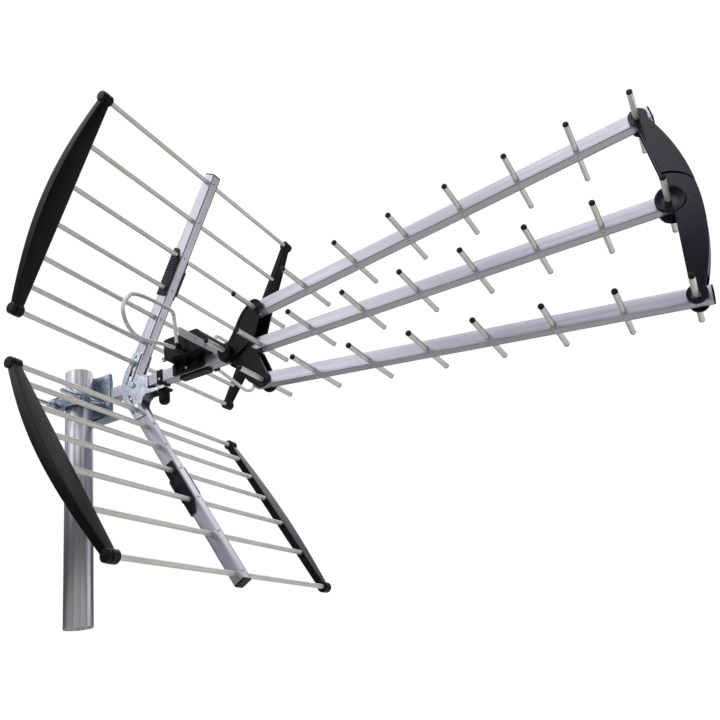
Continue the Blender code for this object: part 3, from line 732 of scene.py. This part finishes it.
def end_bar(label, word, x_side, side, place):
    """A crescent moulding: straight inside, crowned outside, with a knob at each end."""
    node = "%s_end_bar_%s" % (label, word)
    first, last = PANEL_RODS[0] - 5.0, PANEL_RODS[-1] + 5.0
    stations = 48
    inside, front = 2.0, -4.5
    rings = []
    for i in range(stations + 1):
        share = i / stations
        swell = max(math.sin(math.pi * share), 0.0) ** 0.95
        reach = 14.98 + 23.0 * swell
        rear = 8.5 + 4.5 * swell
        section = [(inside, front + 1.2), (inside + 1.2, front), (reach - 2.0, front)]
        section += arc((reach - 2.0, front + 2.0), 2.0, -60.0, 0.0, 4)
        section += arc((reach - 4.0, rear - 4.0), 4.0, 0.0, 90.0, 9)
        section += [(reach * 0.5, rear * 0.55 + 3.8), (inside + 1.2, 8.0), (inside, 6.8)]
        s = first + (last - first) * share
        rings.append([Vector((x_side * (END_BAR_X + out), s, side * back)) * MM for out, back in section])
    bm = bmesh.new()
    skin(bm, rings)
    extras = []
    axis = "X" if x_side > 0 else "-X"
    for s in (PANEL_RODS[0], PANEL_RODS[-1]):
        steps = [
            (0.0, 0.0), (8.0, 0.0), (9.2, 1.2), (9.2, 13.0), (7.6, 13.8), (7.6, 14.8),
            (8.8, 15.6), (8.8, 18.6), (7.4, 20.1), (4.0, 20.4), (0.0, 20.4),
        ]
        knob = [(radius, END_BAR_X + out) for radius, out in steps]
        extras.append(lathe(knob, (0, s, side * 0.8), axis, 40))
    bm = join(bm, *extras)
    sockets = bmesh.new()
    for s in PANEL_RODS:
        bar(sockets, (x_side * (END_BAR_X - 5), s, 0), (x_side * (END_BAR_X + 6), s, 0), PIN_HOLE)
    piece(node + "_moulding", cut(bm, sockets), place, BAR, label, "plastic", [node], sharp=34.0)


def snap_clip(label, side, low, high, place):
    """The clip over the tube joint: ribbed sides that taper at one end, a thick back and a thumb latch."""
    inside = BOOM_HALF + GAP
    outside = inside + 3.0
    half = [
        (inside, -8.5), (outside, -8.5), (outside + 0.3, 2.0), (outside - 1.0, 11.5),
        (outside - 4.0, outside), (0.0, outside),
    ]
    outline = half + [(-x, z) for x, z in reversed(half[:-1])]
    outline += [(-inside, inside), (inside, inside)]
    bm = slab(mirrored(outline, side), "Y", low, high)
    extras = []
    for k in range(6):
        y = high - 17.0 - k * 5.0 if side > 0 else low + 44.0 + k * 5.0
        rib = [(inside + 1, -7.5), (outside + 1.3, -7.5), (outside + 1.6, 2.0), (outside + 0.4, 11.5),
               (outside - 4, outside + 1.2), (0, outside + 1.2), (0, inside + 1), (inside + 1, inside + 1)]
        full = rib[:6] + [(-x, z) for x, z in reversed(rib[:5])]
        full += [(-inside - 1, inside + 1), (inside + 1, inside + 1)]
        extras.append(slab(mirrored(full, side), "Y", y, y + 2.0))
    latch = [(low + 20.0, 12.0), (low + 24.0, 17.5), (low + 48.0, 17.5), (low + 58.0, 12.0)]
    extras.append(slab(mirrored(fillet(latch, 2.0), side), "X", -7.0, 7.0))
    bm = join(bm, *extras)
    flange = fillet(rectangle(-inside - 6.4, low + 8.0, -inside - 0.6, high - 34.0), 2.4)
    bm = join(bm, slab(flange, "Z", *sorted((-8.4 * side, -2.0 * side))))
    # The sides' front edges are cut back slantwise at the far end.
    taper = [(high + 1.0, -10.0), (high - 22.0, -10.0), (high + 1.0, 3.0)]
    bores = drills([(s, 0) for s in PANEL_RODS if low < s < high], PIN_HOLE, -25, 25)
    bm = cut(bm, slab(mirrored(taper, side), "X", -30.0, 30.0), bores)
    node = label + "_snap_clip"
    piece(label + "_clip_moulding", bm, place, CLIP, label, "plastic", [node], bevel=0.6, sharp=40.0)


def reflector(label, side, clip):
    place = panel_place(label, side)
    for word, low, high in (
        ("inner", PANEL_BASE + PLUG_FLANGE, PANEL_JOINT - GAP),
        ("outer", PANEL_JOINT, PANEL_TIP - PLUG_FLANGE),
    ):
        holes = [s for s in PANEL_RODS if low < s < high]
        name = "%s_%s" % (label, word)
        square_tube(name + "_tube", place, 0.0, low, high, holes, label, [name], -side)
    for number, s in enumerate(PANEL_RODS, 1):
        at = place @ Matrix.Translation(Vector((0, s, 0)) * MM)
        piece("%s_rod_%d" % (label, number), rod_mesh(PANEL_ROD_HALF), at, ROD, label, "rod")
    plug(label + "_tip_plug", place, 0.0, PANEL_TIP, 1, label)
    plug(label + "_base_plug", place, 0.0, PANEL_BASE, -1, label)
    front = -side * BOOM_HALF
    spots = [(0, s, front) for s in PANEL_RODS[1:]]
    rivets(label + "_rivets", place, spots, "-Z" if side > 0 else "Z", label)
    for word, x_side in (("right", 1), ("left", -1)):
        end_bar(label, word, x_side, side, place)
    snap_clip(label, side, *clip, place)


def reflector_bracket():
    """Two pressed plates with ridges and slots, a tongue between their forward arms, and a cross bolt."""
    hinge_y, hinge_z = -247.6, 42.8
    arm = [
        (-275.0, 4.0), (-273.5, 18.0), (-267.0, 32.0), (-260.0, 42.0),
        (-248.5, 62.0), (-227.5, 57.0), (-237.5, 36.5),
    ]
    tongue_edge = [
        (-221.0, -13.0), (-205.0, -15.7), (-187.0, -15.7), (-187.0, -20.5),
        (-213.0, -20.8), (-227.0, -20.4), (-233.0, -25.0),
    ]
    outline = arm + [(-244.0, 22.0), (-236.0, 14.5), (-221.0, 13.5)] + tongue_edge
    outline = fillet(outline + [(y, -z) for y, z in reversed(arm)], 4.0)
    inner_x = BOOM_HALF + 0.6
    outer_x = inner_x + 2.0
    bm = bmesh.new()
    extras = []
    windows = bmesh.new()
    for x, axis in ((-1, "-X"), (1, "X")):
        side_plate(bm, outline, x, inner_x, outer_x)
        for up in (-1, 1):
            for shift in (-5.6, 5.6):
                ridge = [(-262.0, 8.0), (-259.5, 8.0), (-236.0, 55.0), (-239.0, 55.0)]
                ridge = fillet([(y + shift, z * up) for y, z in ridge], 1.0)
                extras.append(side_slab(ridge, x, outer_x - 0.6, outer_x + 1.8))
            slot = [(-262.0, 14.0 * up), (-256.5, 14.0 * up), (-250.5, 30.0 * up), (-255.5, 30.0 * up)]
            side_plate(windows, fillet(slot, 2.0), x, inner_x - 1, outer_x + 1)
            pad = [
                (0.0, inner_x + 0.5), (8.0, inner_x + 0.5), (8.0, outer_x + 0.8),
                (6.8, outer_x + 1.6), (0.0, outer_x + 1.6),
            ]
            extras.append(lathe(pad, (0, hinge_y, hinge_z * up), axis, 32))
    bm = cut(bm, windows)
    for low_z in (-10.2, 12.4):
        extras.append(shape(box, (-inner_x - 1, -262, low_z), (inner_x + 1, -241, low_z + 1.8)))
    tongue = [
        (-244.0, -10.2), (-244.0, -8.6), (-232.0, -10.2), (-207.0, -16.0),
        (-188.0, -16.0), (-188.0, -17.5), (-207.5, -17.5), (-233.0, -12.0),
    ]
    extras.append(slab(tongue, "X", -inner_x - 1, inner_x + 1))
    bm = join(bm, *extras)
    bores = drills([(hinge_y, -hinge_z), (hinge_y, hinge_z)], PIN_HOLE, -25, 25)
    bar(bores, (0, KNOB_Y, -21), (0, KNOB_Y, -12), 5.2)
    bm = cut(bm, bores)
    on_antenna("reflector_bracket_pressing", bm, ZINC, "zinc", ["reflector_bracket"], bevel=0.4, sharp=40.0)
    bolt = bmesh.new()
    washer = [(0.0, 12.0), (6.2, 12.0), (6.2, 13.4), (0.0, 13.4)]
    head = [(0.0, 13.2), (4.9, 13.2), (5.1, 13.6), (5.1, 16.6), (4.4, 17.2), (0.0, 17.2)]
    for axis in ("X", "-X"):
        turned(bolt, washer, (0, -252.0, BOOM_RISE), axis, 28)
        turned(bolt, head, (0, -252.0, BOOM_RISE), axis, 6)
    screw_head(bolt, (12.4, -198.0, -18.2), "X", 2.2, 1.2)
    on_antenna("bracket_cross_bolt", bolt, BOLT, "zinc")


def boom_strap():
    """The moulded strap round the boom, with two ribs, a bump on top and a side screw."""
    inside = BOOM_HALF + GAP
    outer = fillet(square(inside + 1.8, BOOM_RISE), 2.4)
    rib = fillet(square(inside + 2.3, BOOM_RISE), 2.6)
    inner = fillet(square(inside, BOOM_RISE), 1.0)
    bm = shape(tube, outer, inner, "Y", KNOB_Y - 5.0, KNOB_Y + 5.0)
    extras = [shape(tube, rib, inner, "Y", y, y + 2.2) for y in (KNOB_Y - 4.6, KNOB_Y + 2.4)]
    top = BOOM_RISE + inside + 1.0
    extras.append(shape(box, (-4.0, KNOB_Y - 3.0, top), (4.0, KNOB_Y + 3.0, top + 2.6)))
    on_antenna("strap_moulding", join(bm, *extras), BLACK, "plastic", ["boom_strap"], bevel=0.4)
    screws = shape(screw_head, (12.0, KNOB_Y, -3.0), "X", 2.4, 1.4)
    on_antenna("strap_screw", screws, BOLT, "zinc")


def tension_knob():
    """A ribbed knob with a domed end, turning on the strap's axis."""
    place = joint_place("knob_spin")
    floor = place.translation.z / MM - ANTENNA.translation.z / MM
    ribs, steps = 14, 8
    levels = [
        (-17.9, 0.90), (-18.4, 0.96), (-20.0, 1.0), (-36.0, 1.0), (-38.5, 0.985),
        (-41.0, 0.92), (-43.2, 0.76), (-44.6, 0.48), (-45.0, 0.2),
    ]
    rings = []
    for z, scale in levels:
        ring = []
        depth = 0.85 if z > -38.0 else 0.85 * scale ** 3
        for k in range(ribs * steps):
            angle = math.tau * k / (ribs * steps)
            radius = (9.2 - depth * (0.5 - 0.5 * math.cos(ribs * angle)) ** 0.6) * scale
            ring.append(Vector((radius * math.cos(angle), radius * math.sin(angle), z - floor)) * MM)
        rings.append(ring)
    bm = bmesh.new()
    skin(bm, rings)
    low, high = -18.2 - floor, -10.9 - floor
    turned(bm, [(0.0, low), (4.5, low), (4.5, high), (0.0, high)], (0, 0, 0), "Z", 28)
    piece("tension_knob_moulding", bm, place, BLACK, "knob", "plastic", ["tension_knob"], sharp=36.0)


# ---------------------------------------------------------------- balun box, dipole and launch strip

BOX_REAR, BOX_FRONT, BOX_HALF = -163.0, -90.0, 40.0
BOX_FLOOR = BOOM_RISE + BOOM_HALF + GAP
BOX_SPLIT, BOX_TOP = 33.0, 48.0
DIPOLE_Y = -127.0


def balun_box():
    """The box that holds the balun: a tray with a saddle over the boom, a crowned cover and screws."""
    side_view = fillet(rectangle(BOX_REAR, BOX_FLOOR, BOX_FRONT, BOX_SPLIT - 0.2), 1.5)
    bm = slab(side_view, "X", -BOX_HALF, BOX_HALF)
    top = BOX_FLOOR + 1
    cheek = fillet([(-167.0, -7.8), (-112.0, -7.8), (-105.0, -2.0), (-105.0, top), (-167.0, top)], 3.0)
    extras = []
    for x in (-1, 1):
        extras.append(side_slab(cheek, x, 10.8, 14.0))
        for y in (-158.0, -136.0, -114.0):
            rib = [(x * 13.0, BOX_FLOOR + 0.5), (x * 24.0, BOX_FLOOR + 0.5), (x * 13.0, -6.0)]
            extras.append(slab(rib, "Y", y, y + 2.0))
    cavity = shape(box, (-37.5, BOX_REAR + 2.5, BOX_FLOOR + 2.5), (37.5, BOX_FRONT - 2.5, BOX_SPLIT + 2))
    bm = cut(join(bm, *extras), cavity)
    on_antenna("balun_tray", bm, BLACK, "plastic", ["balun_housing"], bevel=0.9, segments=3, sharp=40.0)

    crown = [(BOX_REAR, BOX_SPLIT + GAP), (BOX_FRONT, BOX_SPLIT + GAP)]
    crown += arc((BOX_FRONT - 10.0, BOX_TOP - 10.0), 10.0, 0.0, 90.0, 14)
    crown += arc((BOX_REAR + 5.0, BOX_TOP - 5.0), 5.0, 90.0, 180.0, 8)
    bm = slab(crown, "X", -BOX_HALF, BOX_HALF)
    lip = fillet(rectangle(BOX_REAR, BOX_SPLIT + GAP, BOX_FRONT, BOX_SPLIT + 2.6), 0.8)
    bm = join(bm, slab(lip, "X", -BOX_HALF, BOX_HALF))
    hollow = shape(box, (-37.5, BOX_REAR + 2.5, BOX_SPLIT - 1), (37.5, BOX_FRONT - 8.5, BOX_TOP - 2.5))
    panel = shape(box, (-28.0, BOX_REAR + 12.0, BOX_TOP - 0.7), (28.0, BOX_FRONT - 16.0, BOX_TOP + 2), 4.0)
    bm = cut(bm, hollow, panel)
    on_antenna("balun_lid", bm, BLACK, "plastic", ["balun_cover"], bevel=1.0, segments=3, sharp=40.0)

    screws = bmesh.new()
    for x in (-34.0, 34.0):
        for y in (BOX_REAR + 6.0, BOX_FRONT - 14.0):
            screw_head(screws, (x, y, BOX_TOP), "Z", 2.6, 1.4)
    screw_head(screws, (14.0, -139.0, 0.0), "X", 3.0, 2.0)
    screw_head(screws, (-14.0, -139.0, 0.0), "-X", 3.0, 2.0)
    on_antenna("balun_screws", screws, BOLT, "zinc")


def dipole_terminals():
    """A collar on each side of the box and the block that closes each dipole loop."""
    collars = bmesh.new()
    for x, axis in ((-1, "-X"), (1, "X")):
        collar = [(0.0, 39.0), (5.4, 39.0), (5.4, 42.6), (4.4, 44.0), (0.0, 44.0)]
        turned(collars, collar, (0, DIPOLE_Y, 17.0), axis, 28)
        block = fillet(rectangle(min(x * 46.0, x * 60.0), 13.2, max(x * 46.0, x * 60.0), 23.8), 1.5)
        prism(collars, block, "Y", DIPOLE_Y - 5.0, DIPOLE_Y + 5.0)
    on_antenna("dipole_terminals", collars, BLACK, "plastic", bevel=0.5)


def smooth_path(points, steps=8):
    """A Catmull-Rom curve through the points."""
    path = []
    padded = [points[0], *points, points[-1]]
    for a, b, c, d in zip(padded, padded[1:], padded[2:], padded[3:]):
        for i in range(steps):
            t = i / steps
            path.append(tuple(
                0.5 * (2 * q + (r - p) * t + (2 * p - 5 * q + 4 * r - s) * t ** 2
                       + (3 * q - p - 3 * r + s) * t ** 3)
                for p, q, r, s in zip(a, b, c, d)
            ))
    path.append(points[-1])
    return path


def dipole(word, x_side):
    """A loop of bent rod: out along the bottom, round the wide end, back along the top and down its riser."""
    route = [
        (BOX_HALF + GAP, 17.0), (53.0, 17.2), (72.0, 14.6), (94.0, 11.2), (112.0, 7.7), (127.0, 4.9),
        (141.0, 3.3), (153.0, 4.6), (163.5, 9.6), (171.0, 16.2), (176.5, 25.0), (179.3, 36.0),
        (178.0, 46.0), (173.5, 55.0), (166.2, 64.6), (159.5, 71.2), (150.0, 75.4), (137.0, 78.2),
        (123.4, 80.0), (105.0, 81.4), (85.0, 82.0), (68.0, 82.1), (61.0, 80.4), (57.6, 75.6),
        (56.4, 68.0), (54.6, 48.0), (53.2, 30.0), (53.0, 23.7),
    ]
    curve = bpy.data.curves.new("dipole_wire_" + word, "CURVE")
    curve.dimensions = "3D"
    curve.bevel_depth = 3.0 * MM
    curve.bevel_resolution = 6
    curve.use_fill_caps = True
    path = smooth_path(route)
    line = curve.splines.new("POLY")
    line.points.add(len(path) - 1)
    for point, (x, z) in zip(line.points, path):
        point.co = (x * x_side * MM, DIPOLE_Y * MM, z * MM, 1.0)
    line.use_smooth = True
    curve.materials.append(WIRE)
    obj = linked("dipole_wire_" + word, curve)
    obj.matrix_world = ANTENNA
    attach(obj, "antenna")
    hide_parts("dipole_" + word)


def launch_strip():
    """The flat strip in front of the box, with its slots and two screws."""
    height, reach = 14.0, 98.0
    low = BOX_FLOOR + GAP
    outline = fillet(rectangle(-reach, low, reach, low + height), 3.0, 8)
    middle = low + height / 2
    front = BOX_FRONT + GAP
    bm = slab(outline, "Y", front, front + 2.0)
    slots = bmesh.new()
    for x in (-55.5, 55.5):
        slot = fillet(rectangle(x - 2.5, middle - 2.5, x + 2.5, middle + 2.5), 1.2)
        prism(slots, slot, "Y", front - 1, front + 3)
    on_antenna("launch_strip_plate", cut(bm, slots), STRIP, "boom", ["launch_strip"], bevel=0.5)
    screws = bmesh.new()
    for x in (-30.0, 30.0):
        screw_head(screws, (x, front + 2.0, middle), "Y", 3.0, 1.6)
    on_antenna("launch_strip_screws", screws, BOLT, "zinc")


def clamp_plate():
    outline = fillet(rectangle(-8.0, -159.0, 8.0, -101.0), 3.0)
    bm = slab(outline, "Z", -13.2, -9.2)
    pad = fillet(rectangle(-6.0, -156.0, 6.0, -104.0), 2.0)
    bm = join(bm, slab(pad, "Z", -9.8, -8.3))
    on_antenna("box_clamp_pad", bm, BLACK, "plastic", ["box_clamp_plate"], bevel=0.6)


# ---------------------------------------------------------------- mast and clamp

def mast():
    """The mast with a softly rounded lip at both ends."""
    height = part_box("mast_stub")[1].z / MM
    outside, inside = MAST_RADIUS, MAST_RADIUS - 2.5
    profile = [(outside - 0.7, 0.0), (outside, 0.8), (outside, height - 0.8), (outside - 0.7, height),
               (inside + 0.5, height), (inside, height - 0.6), (inside, 0.6), (inside + 0.5, 0.0)]
    bm = bmesh.new()
    rings = [[spot("Z", u, v, z) for u, v in circle(radius, 96)] for radius, z in profile]
    skin(bm, rings, closed_ends=False)
    piece("mast_tube", bm, Matrix.Identity(4), MAST, "mast", "mast", ["mast_stub"], sharp=50.0)


def mast_bracket():
    outer, inner = BOOM_HALF + 2.4, BOOM_HALF + 0.4
    rear, front = MAST_Y - 45.0, MAST_Y + 43.5
    lip_x = outer - 6.4
    bm = slab(fillet(rectangle(-outer, rear, outer, front), 2.2), "Z", -40.0, 39.0)
    hollow = shape(box, (-inner, rear - 4, -38.0), (inner, front - 1.6, 41.0))
    low, high = BOOM_RISE - BOOM_HALF - GAP, BOOM_RISE + BOOM_HALF + GAP
    window = shape(box, (-inner, front - 3, low), (inner, front + 1, high))
    beside_lip = shape(box, (-outer - 1, front - 15, -37.5), (lip_x, front + 1, 41.0))
    bm = cut(bm, hollow, window, beside_lip)
    half = 16.0
    lean = math.degrees(math.asin(half / (MAST_RADIUS + GAP)))
    # The saddle is a stack of teeth that follow the mast's curve.
    saddle = [(outer - 0.6, MAST_Y + half)]
    teeth = 12
    for i in range(teeth * 2 + 1):
        angle = 180.0 - lean + 2 * lean * i / (teeth * 2)
        radius = MAST_RADIUS + GAP + (0.9 if i % 2 else 0.0)
        angle = math.radians(angle)
        saddle.append((MAST_X + radius * math.cos(angle), MAST_Y + radius * math.sin(angle)))
    saddle.append((outer - 0.6, MAST_Y - half))
    bm = join(bm, slab(saddle, "Z", -37.0, 36.0))
    bm = cut(bm, drills(CLAMP_BOLTS, CLAMP_BOLT_HOLE, inner - 1, outer + 1))
    on_antenna("mast_bracket_channel", bm, STEEL, "zinc", ["mast_bracket"], bevel=0.4, sharp=40.0)


def clamp_jaw():
    """The loose jaw: a V with teeth along both faces."""
    tangent = math.radians(60.0)
    notch = MAST_X + (MAST_RADIUS + GAP) / math.sin(tangent)
    wing = 24.0
    wing_x = notch - wing / math.tan(tangent)
    upper = []
    teeth = 9
    for i in range(teeth * 2 + 1):
        share = i / (teeth * 2)
        bite = 0.9 if i % 2 else 0.0
        upper.append((notch + (wing_x - notch) * share + bite, wing * share))
    half = upper + [(wing_x, 36.0), (wing_x + 2.0, 38.0), (JAW_BACK_X - 2.0, 38.0), (JAW_BACK_X, 36.0)]
    outline = [(x, MAST_Y + y) for x, y in half] + [(x, MAST_Y - y) for x, y in reversed(half[1:])]
    bm = slab(outline, "Z", -26.0, -4.0)
    bm = cut(bm, drills(CLAMP_BOLTS, CLAMP_BOLT_HOLE, 40, 80))
    piece("clamp_jaw_casting", bm, ANTENNA, STEEL, "jaw", "zinc", ["clamp_jaw"], bevel=0.5, sharp=50.0)


def clamp_bolt(word, offset):
    """Hexagon head, plain neck and thread."""
    y, z = MAST_Y + offset, CLAMP_BOLT_Z
    bm = bmesh.new()
    turned(bm, [(0.0, 4.6), (5.0, 4.6), (5.6, 5.2), (5.6, 10.1), (0.0, 10.1)], (0, y, z), "X", 6)
    thread_start, tip, pitch = 36.0, 108.0, 1.25
    profile = [(0.0, 10.0), (3.9, 10.0), (3.9, thread_start)]
    x = thread_start
    while x + pitch < tip - 1.0:
        profile += [(3.35, x + pitch * 0.5), (3.95, x + pitch)]
        x += pitch
    profile += [(3.2, tip), (0.0, tip)]
    turned(bm, profile, (0, y, z), "X", 28)
    on_antenna("clamp_bolt_thread_" + word, bm, BOLT, "zinc", ["clamp_bolt_" + word], sharp=25.0)


def wing_nut(word, turn):
    """A turned boss with two swept wings."""
    body = "nut_" + word
    place = joint_place("wing_nut_%s_spin" % word)
    seat = JAW_BACK_X + GAP - (place.translation.x / MM - ANTENNA.translation.x / MM)
    bm = bmesh.new()
    boss = [(4.3, 0.0), (7.8, 0.0), (7.8, 1.5), (6.6, 8.0), (5.6, 9.4), (4.3, 9.4)]
    turned(bm, [(radius, seat + x) for radius, x in boss], (0, 0, 0), "X", 36)
    blade = [(1.0, 5.2), (8.4, 5.2), (17.0, 13.6), (18.6, 20.0), (15.6, 23.0), (10.4, 21.6), (3.0, 12.0)]
    extras = []
    for up in (-1, 1):
        outline = fillet([(seat + x, r) for x, r in blade], 2.4)
        extras.append(slab([(x, r * up) for x, r in outline], "Y", -1.6, 1.6))
    bm = join(bm, *extras)
    bore = shape(bar, (seat - 5, 0, 0), (seat + 20, 0, 0), 4.2)
    bm = cut(bm, bore)
    bm.transform(Matrix.Rotation(math.radians(turn), 4, "X"))
    name, node = "wing_nut_casting_" + word, "wing_nut_" + word
    piece(name, bm, place, BOLT, body, "zinc", [node], bevel=0.7, segments=3, sharp=35.0)


def kept_nodes():
    """CAD nodes whose own shape is right: they only get their material."""
    for name, look in (("balun_circuit_board", BOARD), ("coax_connector", BOLT)):
        node = NODES[name]
        if not node.material_slots:
            node.data.materials.append(look)
        for holder in node.material_slots:
            holder.material = look


# ---------------------------------------------------------------- stage

def camera():
    """The view from below the nose's right side, with the boom running away to the left."""
    heading, height, roll = math.radians(112.87), math.radians(-23.34), math.radians(-8.31)
    flat = math.cos(height)
    back = Vector((math.sin(heading) * flat, -math.cos(heading) * flat, math.sin(height)))
    level = Vector((math.cos(heading), math.sin(heading), 0.0))
    up = back.cross(level)
    right = math.cos(roll) * level + math.sin(roll) * up
    up = math.cos(roll) * up - math.sin(roll) * level
    where = ANTENNA.translation + Vector((1023.1, 595.1, -556.1)) * MM
    data = bpy.data.cameras.new("camera")
    data.lens = 40.63
    data.sensor_width = 36.0
    data.clip_end = 60.0
    obj = linked("camera", data)
    turn = Matrix((right, up, back)).transposed().to_4x4()
    obj.matrix_world = Matrix.Translation(where) @ turn
    bpy.context.scene.camera = obj


def surround():
    """A white backdrop that lights the metal as a studio does: dim below the horizon, brightest high up."""
    world = bpy.data.worlds.new("surround")
    world.use_nodes = True
    tree = world.node_tree
    back = tree.nodes["Background"]
    ways = tree.nodes.new("ShaderNodeTexCoord")
    split = tree.nodes.new("ShaderNodeSeparateXYZ")
    height = tree.nodes.new("ShaderNodeMapRange")
    height.inputs["From Min"].default_value = -1.0
    bands = tree.nodes.new("ShaderNodeValToRGB")
    levels = [
        (-1.0, (0.20, 0.20, 0.18)), (-0.1, (0.03, 0.03, 0.03)), (0.12, (0.04, 0.04, 0.05)),
        (0.35, (0.22, 0.22, 0.27)), (0.5, (0.42, 0.42, 0.50)), (0.62, (0.98, 0.98, 1.0)),
        (0.74, (0.98, 0.98, 1.0)), (0.86, (0.45, 0.45, 0.48)), (1.0, (0.30, 0.30, 0.32)),
    ]
    set_stops(bands.color_ramp, [((z + 1.0) / 2, colour) for z, colour in levels])
    lit = tree.nodes.new("ShaderNodeBackground")
    lit.inputs["Strength"].default_value = 1.35
    back.inputs["Color"].default_value = (1.0, 1.0, 1.0, 1.0)
    back.inputs["Strength"].default_value = 1.05
    seen = tree.nodes.new("ShaderNodeLightPath")
    choose = tree.nodes.new("ShaderNodeMixShader")
    for start, end in (
        (ways.outputs["Generated"], split.inputs[0]), (split.outputs["Z"], height.inputs["Value"]),
        (height.outputs["Result"], bands.inputs["Fac"]), (bands.outputs["Color"], lit.inputs["Color"]),
        (seen.outputs["Is Camera Ray"], choose.inputs[0]), (lit.outputs[0], choose.inputs[1]),
        (back.outputs[0], choose.inputs[2]),
        (choose.outputs[0], tree.nodes["World Output"].inputs["Surface"]),
    ):
        tree.links.new(start, end)
    bpy.context.scene.world = world


def stage():
    """A pale floor well below the mast's foot, a pale surround and five soft lamps."""
    under, top, reach = -1220.0, -1200.0, 5000.0
    bm = lathe([(0.0, under), (reach, under), (reach, top), (0.0, top)], (0, 450, 0), "Z", 96)
    floor = linked("floor", mesh_of("floor", bm))
    look = Look("floor", 0.0, 0.2)
    cloud = look.noise((0.8, 0.8, 0.8), 3.0)
    colour = look.ramp(cloud, (0.2, (0.60, 0.60, 0.56)), (0.8, (0.64, 0.64, 0.60)))
    floor.data.materials.append(look.finish(colour, look.grey(cloud, (0.0, 0.8), (1.0, 0.9))))

    surround()
    bpy.context.scene.view_settings.view_transform = "Standard"

    low, high = CAD_BOX
    middle = (Vector(low) + Vector(high)) / 2
    lamps = (
        ("key", (0.4, -0.9, 2.4), 2.0, 16.0),
        ("side", (2.05, -1.25, 1.0), 1.2, 6.0),
        ("front", (2.04, 0.56, 1.49), 0.8, 3.0),
        ("left", (-1.75, 1.75, -0.5), 1.6, 8.0),
        ("rear", (-1.8, -1.2, 1.2), 2.0, 8.0),
    )
    for name, offset, size, power in lamps:
        data = bpy.data.lights.new(name, "AREA")
        data.size = size
        data.energy = power
        lamp = linked(name, data)
        lamp.visible_camera = False
        place = middle + Vector(offset)
        turn = (place - middle).to_track_quat("Z", "Y").to_matrix().to_4x4()
        lamp.matrix_world = Matrix.Translation(place) @ turn


# ---------------------------------------------------------------- assembly

camera()
stage()
directors()
booms()
rear_arm("upper", 1, 14.8)
rear_arm("lower", -1, 10.8)
front_arm("upper", 1)
front_arm("lower", -1)
reflector("upper_reflector", 1, (127.0, 216.0))
reflector("lower_reflector", -1, (127.0, 226.0))
reflector_bracket()
boom_strap()
tension_knob()
balun_box()
dipole_terminals()
dipole("right", 1)
dipole("left", -1)
launch_strip()
clamp_plate()
mast()
mast_bracket()
clamp_jaw()
for word, offset, turn in (("front", CLAMP_BOLT_Y, 20.0), ("rear", -CLAMP_BOLT_Y, 55.0)):
    clamp_bolt(word, offset)
    wing_nut(word, turn)
kept_nodes()
